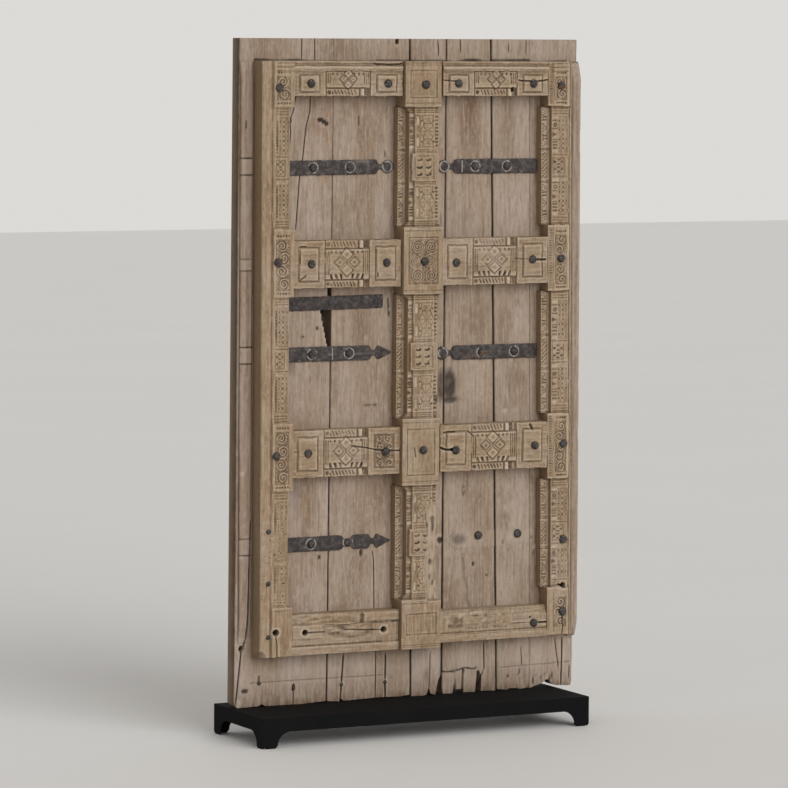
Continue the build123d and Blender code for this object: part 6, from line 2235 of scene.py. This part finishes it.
class Door:
    """The two leaves: every wooden and iron piece, from the planks outwards."""

    def __init__(self, bench: Bench, finishes: Finishes) -> None:
        """Keep the door's place and the finishes."""
        self.bench = bench
        self.finishes = finishes

    def make_margins(self) -> None:
        """Make the two edge mouldings."""
        rings = ((1596.0, 1644.0), (1310.0, 1346.0), (1034.0, 1082.0), (460.0, 508.0))
        strips = (EdgeMoulding("left_edge_moulding", (3, 3), (45, 45), 198, 10, 0.72, rings),
                  EdgeMoulding("right_edge_moulding", (1104, 1119), (1143.7, 1149.2), 160, 40, 0.3, ()))
        for seed, strip in enumerate(strips, start=31):
            strip.make(self.bench, self.finishes, seed)

    def make_stiles(self) -> None:
        """Make the two stiles."""
        Stile("left_stile", 48, 138, 87, 152, 92, 136, (48, 83), 85.5, LEFT_BLOCKS,
              cracks=((((101, 156), (102, 190), (98, 222)), 2.8, 7),),
              holes=((99, 230, 9),)).make(self.bench, self.finishes, 41)
        Stile("right_stile", 1033, 1103, 1017, 1092, 1036, 1090, (1096, 1103), 1093.5, RIGHT_BLOCKS, 42, 50,
              RIGHT_LEAN, cracks=((((1070, 168), (1071, 232)), 3.0, 8), (((1072, 321), (1060, 324)), 8, 9)),
              holes=((1076, 321, 7.5),)).make(self.bench, self.finishes, 42)

    def make_rails(self) -> None:
        """Make the eight rails, each with its own cracks and lost bits."""
        pillow, scrolls = Panel.PILLOW, Panel.SCROLLS
        rails = (
            Rail("left_top_rail", 152.8, 517.2, 1829, 1933, head_mould=29,
                 cracks=((((423, 1925), (470, 1922), (514, 1925)), 7, 6),)),
            Rail("left_upper_rail", 152.8, 517.2, 1257, 1399,
                 cracks=((((179, 1382), (196, 1381)), 6, 6), (((178, 1372), (177, 1330)), 3, 4),
                         (((196, 1296), (180, 1284), (178, 1278)), 6, 4),
                         (((436, 1300), (437, 1288)), 5, 6))),
            Rail("left_lower_rail", 152.8, 517.2, 690, 832, (pillow, scrolls),
                 cracks=((((354, 781), (400, 774), (450, 764), (517, 761)), 4.5, 8),
                         (((154, 770), (176, 768)), 2.6, 4))),
            Rail("right_top_rail", 653.6, 1016.2, 1829, 1933, head_mould=29,
                 cracks=((((654, 1876), (708, 1873)), 4, 6),
                         (((914, 1877), (965, 1872), (1016, 1878)), 6, 8)),
                 pits=((894, 1848, 8),)),
            Rail("right_upper_rail", 653.6, 1021, 1257, 1399,
                 cracks=((((972, 1331), (1012, 1330)), 9, 10), (((905, 1334), (950, 1332)), 3, 3))),
            Rail("right_lower_rail", 653.6, 1025.8, 690, 832,
                 cracks=((((654, 764), (675, 757), (692, 758)), 9, 12), (((666, 809), (704, 811)), 6, 6),
                         (((748, 812), (757, 806), (768, 796)), 7, 4), (((965, 824), (972, 812)), 11, 8)),
                 pits=((694, 758, 5),)),
        )
        for seed, rail in enumerate(rails, start=51):
            rail.make(self.bench, self.finishes, seed)
        BottomRail("left_bottom_rail", 152.8, 517.2, 156, 278, True).make(self.bench, self.finishes, 61)
        BottomRail("right_bottom_rail", 655, 1030, 168, 264, False).make(self.bench, self.finishes, 62)

    def make_strips(self) -> None:
        """Make the six inner strips."""
        sides = (("left", 514.0, 540.0, LEFT_BLOCKS, 0.0, 71),
                 ("right", 1005.0, 1033.0, RIGHT_BLOCKS, RIGHT_LEAN, 75))
        for side, left, right, blocks, lean, seed in sides:
            for step, (label, zone) in enumerate(zip(("lower", "middle", "upper"), zones_between(blocks))):
                strip = InnerStrip(f"{side}_{label}_inner_strip", left, right, zone[0] + 1, zone[1] - 1, lean)
                strip.make(self.bench, self.finishes, seed + step)

    def make_straps(self) -> None:
        """Make the six iron bars, each with the half widths of its own worn outline."""
        def bar(length: float, end: tuple[Point, ...]) -> tuple[Point, ...]:
            """Join a plain bar and the outline of its end."""
            return ((0.0, 21.0), (2.0, 22.2), (length - 12, 22.2), (length - 4, 19.5), (length, 11.0),
                    (length + 3, 8.0), (length + 13, 8.0), *((length + place, half) for place, half in end))

        turns = np.linspace(0.45, math.pi, 12)
        disc = tuple((33 - 20 * math.cos(turn), 20 * math.sin(turn)) for turn in turns)
        spear = ((17, 15.0), (21, 20.5), (26, 20.5), (32, 17.5), (38, 14.5), (46, 11.0), (56, 6.0), (66, 1.6))
        waist = ((0.0, 22.0), (196.0, 22.4), (204.0, 20.0), (210.0, 12.0), (224.0, 9.0), (236.0, 12.0),
                 (242.0, 20.0), (250.0, 22.2)) + bar(300.0, spear)[2:]
        straps = (
            Strap("left_top_strap", 142, 1615, Lie.TO_RIGHT, bar(318, disc), (100, 224, 349), tilt=0.008),
            Strap("left_middle_strap", 142, 1056, Lie.TO_RIGHT, bar(300, spear), (100, 224), (168.0,)),
            Strap("left_bottom_strap", 142, 484, Lie.TO_RIGHT, waist, (100, 224)),
            Strap("left_plain_strap", 142, 1209, Lie.TO_RIGHT,
                  ((0, 14.0), (3, 18.0), (20, 20.6), (335, 20.6), (337, 19.5)), (), tilt=0.012),
            Strap("right_top_strap", 1003.7, 1615, Lie.TO_LEFT, bar(286.7, disc),
                  (103.7, 212.7, 318.7), (257.7,)),
            Strap("right_middle_strap", 1008.5, 1048, Lie.TO_LEFT, bar(291.5, disc), (77.5, 190.5, 323.5)),
        )
        for seed, strap in enumerate(straps, start=81):
            strap.make(self.bench, self.finishes, seed)

    def make_fasteners(self) -> None:
        """Make the studs and nails in their groups."""
        stile, boss, block, bar = 63.0, 56.0, 66.0, 6.0
        groups = {
            "left_frame_studs": ((102, 1854.5, stile), (100, 1337, stile), (98, 760, stile),
                                 (75, 534, 59.0, 0.58), (75, 378, 59.0, 0.58), (75, 217, 59.0, 0.58),
                                 (209, 1866.5, boss), (466, 1866.5, boss), (214, 1330, boss),
                                 (465, 1330, boss), (206, 763, boss), (467, 760, boss)),
            "right_frame_studs": ((1063.6, 1861.2, 50.0), (1068.1, 1331.7, 50.0), (1083, 761.7, 50.0),
                                  (1089.5, 463.8, 42.0), (1085.4, 241.7, 50.0), (705, 1866.5, boss),
                                  (963, 1866.5, boss), (702, 1326, boss), (965, 1331, boss), (705, 755, boss),
                                  (979, 760, boss), (985, 211, 48.0)),
            "centre_post_studs": ((589, 1863.5, block), (589, 1332, block), (589, 761, block)),
            "left_strap_studs": tuple((u, v, bar) for v in (1615.0, 1056.0, 484.0) for u in (242.0, 366.0)),
            "right_strap_studs": ((791, 1615, bar), (900, 1615, bar), (818, 1048, bar), (931, 1048, bar),
                                  (815, 484, 0.0), (952, 484, 0.0)),
        }
        for seed, (name, places) in enumerate(groups.items(), start=91):
            Fasteners(name, tuple(Head(*place) for place in places)).make(self.bench, self.finishes, seed)
        nails = {"plain_strap_nails": ((179, 1209, bar), (302, 1209, bar), (454, 1209, bar)),
                 "plank_foot_nails": ((74, 71, 0.0), (189, 51, 0.0), (350, 51, 0.0), (498, 50, 0.0))}
        for seed, (name, places) in enumerate(nails.items(), start=97):
            Fasteners(name, tuple(Head(*place) for place in places), 6.0, 3.0, 2.0, 22.0).make(
                self.bench, self.finishes, seed)

    def make(self) -> None:
        """Make every piece of the door."""
        Planks(self.bench, self.finishes).make()
        self.make_margins()
        self.make_stiles()
        Post().make(self.bench, self.finishes, 45)
        self.make_rails()
        self.make_strips()
        self.make_straps()
        self.make_fasteners()


class Stand:
    """The black steel stand, its rear uprights and their screws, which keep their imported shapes."""

    PAINTED = ("stand_top_plate", "stand_front_apron", "stand_rear_apron", "stand_left_end",
               "stand_right_end", "left_rear_upright", "right_rear_upright")
    SCREWS = ("rear_upright_screws",)

    def make(self, finishes: Finishes) -> None:
        """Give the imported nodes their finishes.

        Args:
            finishes: The finishes.
        """
        for names, material in ((self.PAINTED, finishes.paint), (self.SCREWS, finishes.steel)):
            for name in names:
                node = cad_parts[name]
                node.data.materials.clear()
                node.data.materials.append(material)
                log.info("%s keeps its packed shape", name)


@dataclass(frozen=True)
class Studio:
    """A plain pale floor, one soft sun, and the camera of the photograph. Angles are in degrees."""

    camera_place: tuple[float, float, float] = (-6.2318, -12.032, 2.141)
    lens: float = 205.57
    yaw: float = 27.115
    pitch: float = 4.729
    roll: float = 0.412
    ambient: float = 0.48
    sun_power: float = 2.05
    sun_width: float = 50.0
    sun_side: float = 14.0
    sun_rise: float = 21.0
    daylight: Colour = (1.0, 0.99, 0.97)
    backdrop: Colour = (0.72, 0.705, 0.685)
    floor_size: float = 60.0

    def add_camera(self) -> None:
        """Set up the camera: it looks along its yaw and pitch, and its roll turns right and up."""
        yaw, pitch, roll = (math.radians(angle) for angle in (self.yaw, self.pitch, self.roll))
        ahead = Vector((math.sin(yaw) * math.cos(pitch), math.cos(yaw) * math.cos(pitch), -math.sin(pitch)))
        right = Vector((math.cos(yaw), -math.sin(yaw), 0.0))
        up = right.cross(ahead)
        rolled_right = right * math.cos(roll) + up * math.sin(roll)
        rolled_up = up * math.cos(roll) - right * math.sin(roll)
        data = bpy.data.cameras.new("photo_camera")
        data.lens = self.lens
        data.sensor_width = 36.0
        data.clip_end = 200.0
        camera = bpy.data.objects.new("photo_camera", data)
        turned = Matrix((rolled_right, rolled_up, -ahead)).transposed().to_4x4()
        camera.matrix_world = Matrix.Translation(self.camera_place) @ turned
        bpy.context.collection.objects.link(camera)
        bpy.context.scene.camera = camera

    def add_sun(self) -> None:
        """Add one broad soft sun from the front, a little to the right and above."""
        data = bpy.data.lights.new("soft_sun", "SUN")
        data.energy = self.sun_power
        data.angle = math.radians(self.sun_width)
        side, rise = math.radians(self.sun_side), math.radians(self.sun_rise)
        lamp = bpy.data.objects.new("soft_sun", data)
        towards = Vector((math.sin(side) * math.cos(rise), -math.cos(side) * math.cos(rise), math.sin(rise)))
        lamp.rotation_euler = towards.to_track_quat("Z", "Y").to_euler()
        bpy.context.collection.objects.link(lamp)

    def add_floor(self) -> None:
        """Lay the pale floor."""
        half = self.floor_size / 2
        floor = write_mesh("studio_floor", np.array([(-half, -half, 0), (half, -half, 0), (half, half, 0),
                                                     (-half, half, 0)]), [np.array([[0, 1, 2, 3]])])
        material, shop = new_shop("pale_floor")
        place = shop.node("ShaderNodeTexCoord", {}, {}, "Object")
        cloud = shop.noise(place, 0.8, 3.0)
        colour = shop.mixed(rgba((0.78, 0.76, 0.735)), rgba((0.81, 0.795, 0.77)), cloud)
        shop.finish({"Base Color": colour, "Roughness": 0.7}, shop.noise(place, 60.0), 0.0005, 0.1)
        floor.data.materials.append(material)

    def add_world(self) -> None:
        """Light the world evenly, and show it pale to the camera and in reflections."""
        world = bpy.data.worlds.new("studio_world")
        world.use_nodes = True
        shop = Shop(world.node_tree)
        ray = {name: shop.node("ShaderNodeLightPath", {}, {}, name)
               for name in ("Is Camera Ray", "Is Glossy Ray", "Is Transmission Ray")}
        seen = (ray["Is Camera Ray"] + ray["Is Glossy Ray"] + ray["Is Transmission Ray"]).clamped()
        light = shop.node("ShaderNodeBackground", {},
                          {"Color": rgba(self.daylight), "Strength": self.ambient})
        shown = shop.node("ShaderNodeBackground", {}, {"Color": rgba(self.backdrop), "Strength": 1.0})
        mixed = shop.node("ShaderNodeMixShader", {}, {0: seen, 1: light, 2: shown})
        shop.node("ShaderNodeOutputWorld", {}, {"Surface": mixed})
        bpy.context.scene.world = world

    def make(self) -> None:
        """Set up the whole studio."""
        self.add_camera()
        self.add_world()
        self.add_floor()
        self.add_sun()
        bpy.context.scene.view_settings.view_transform = "Standard"


def main() -> None:
    """Build the looks in order: studio, finishes, door and stand, logging the size of each piece as it is
    made.
    """
    logging.basicConfig(level=logging.INFO, format="%(name)s: %(message)s")
    Studio().make()
    bench, finishes = Bench.from_frame(), Finishes()
    Door(bench, finishes).make()
    Stand().make(finishes)


if __name__ == "__main__":
    main()
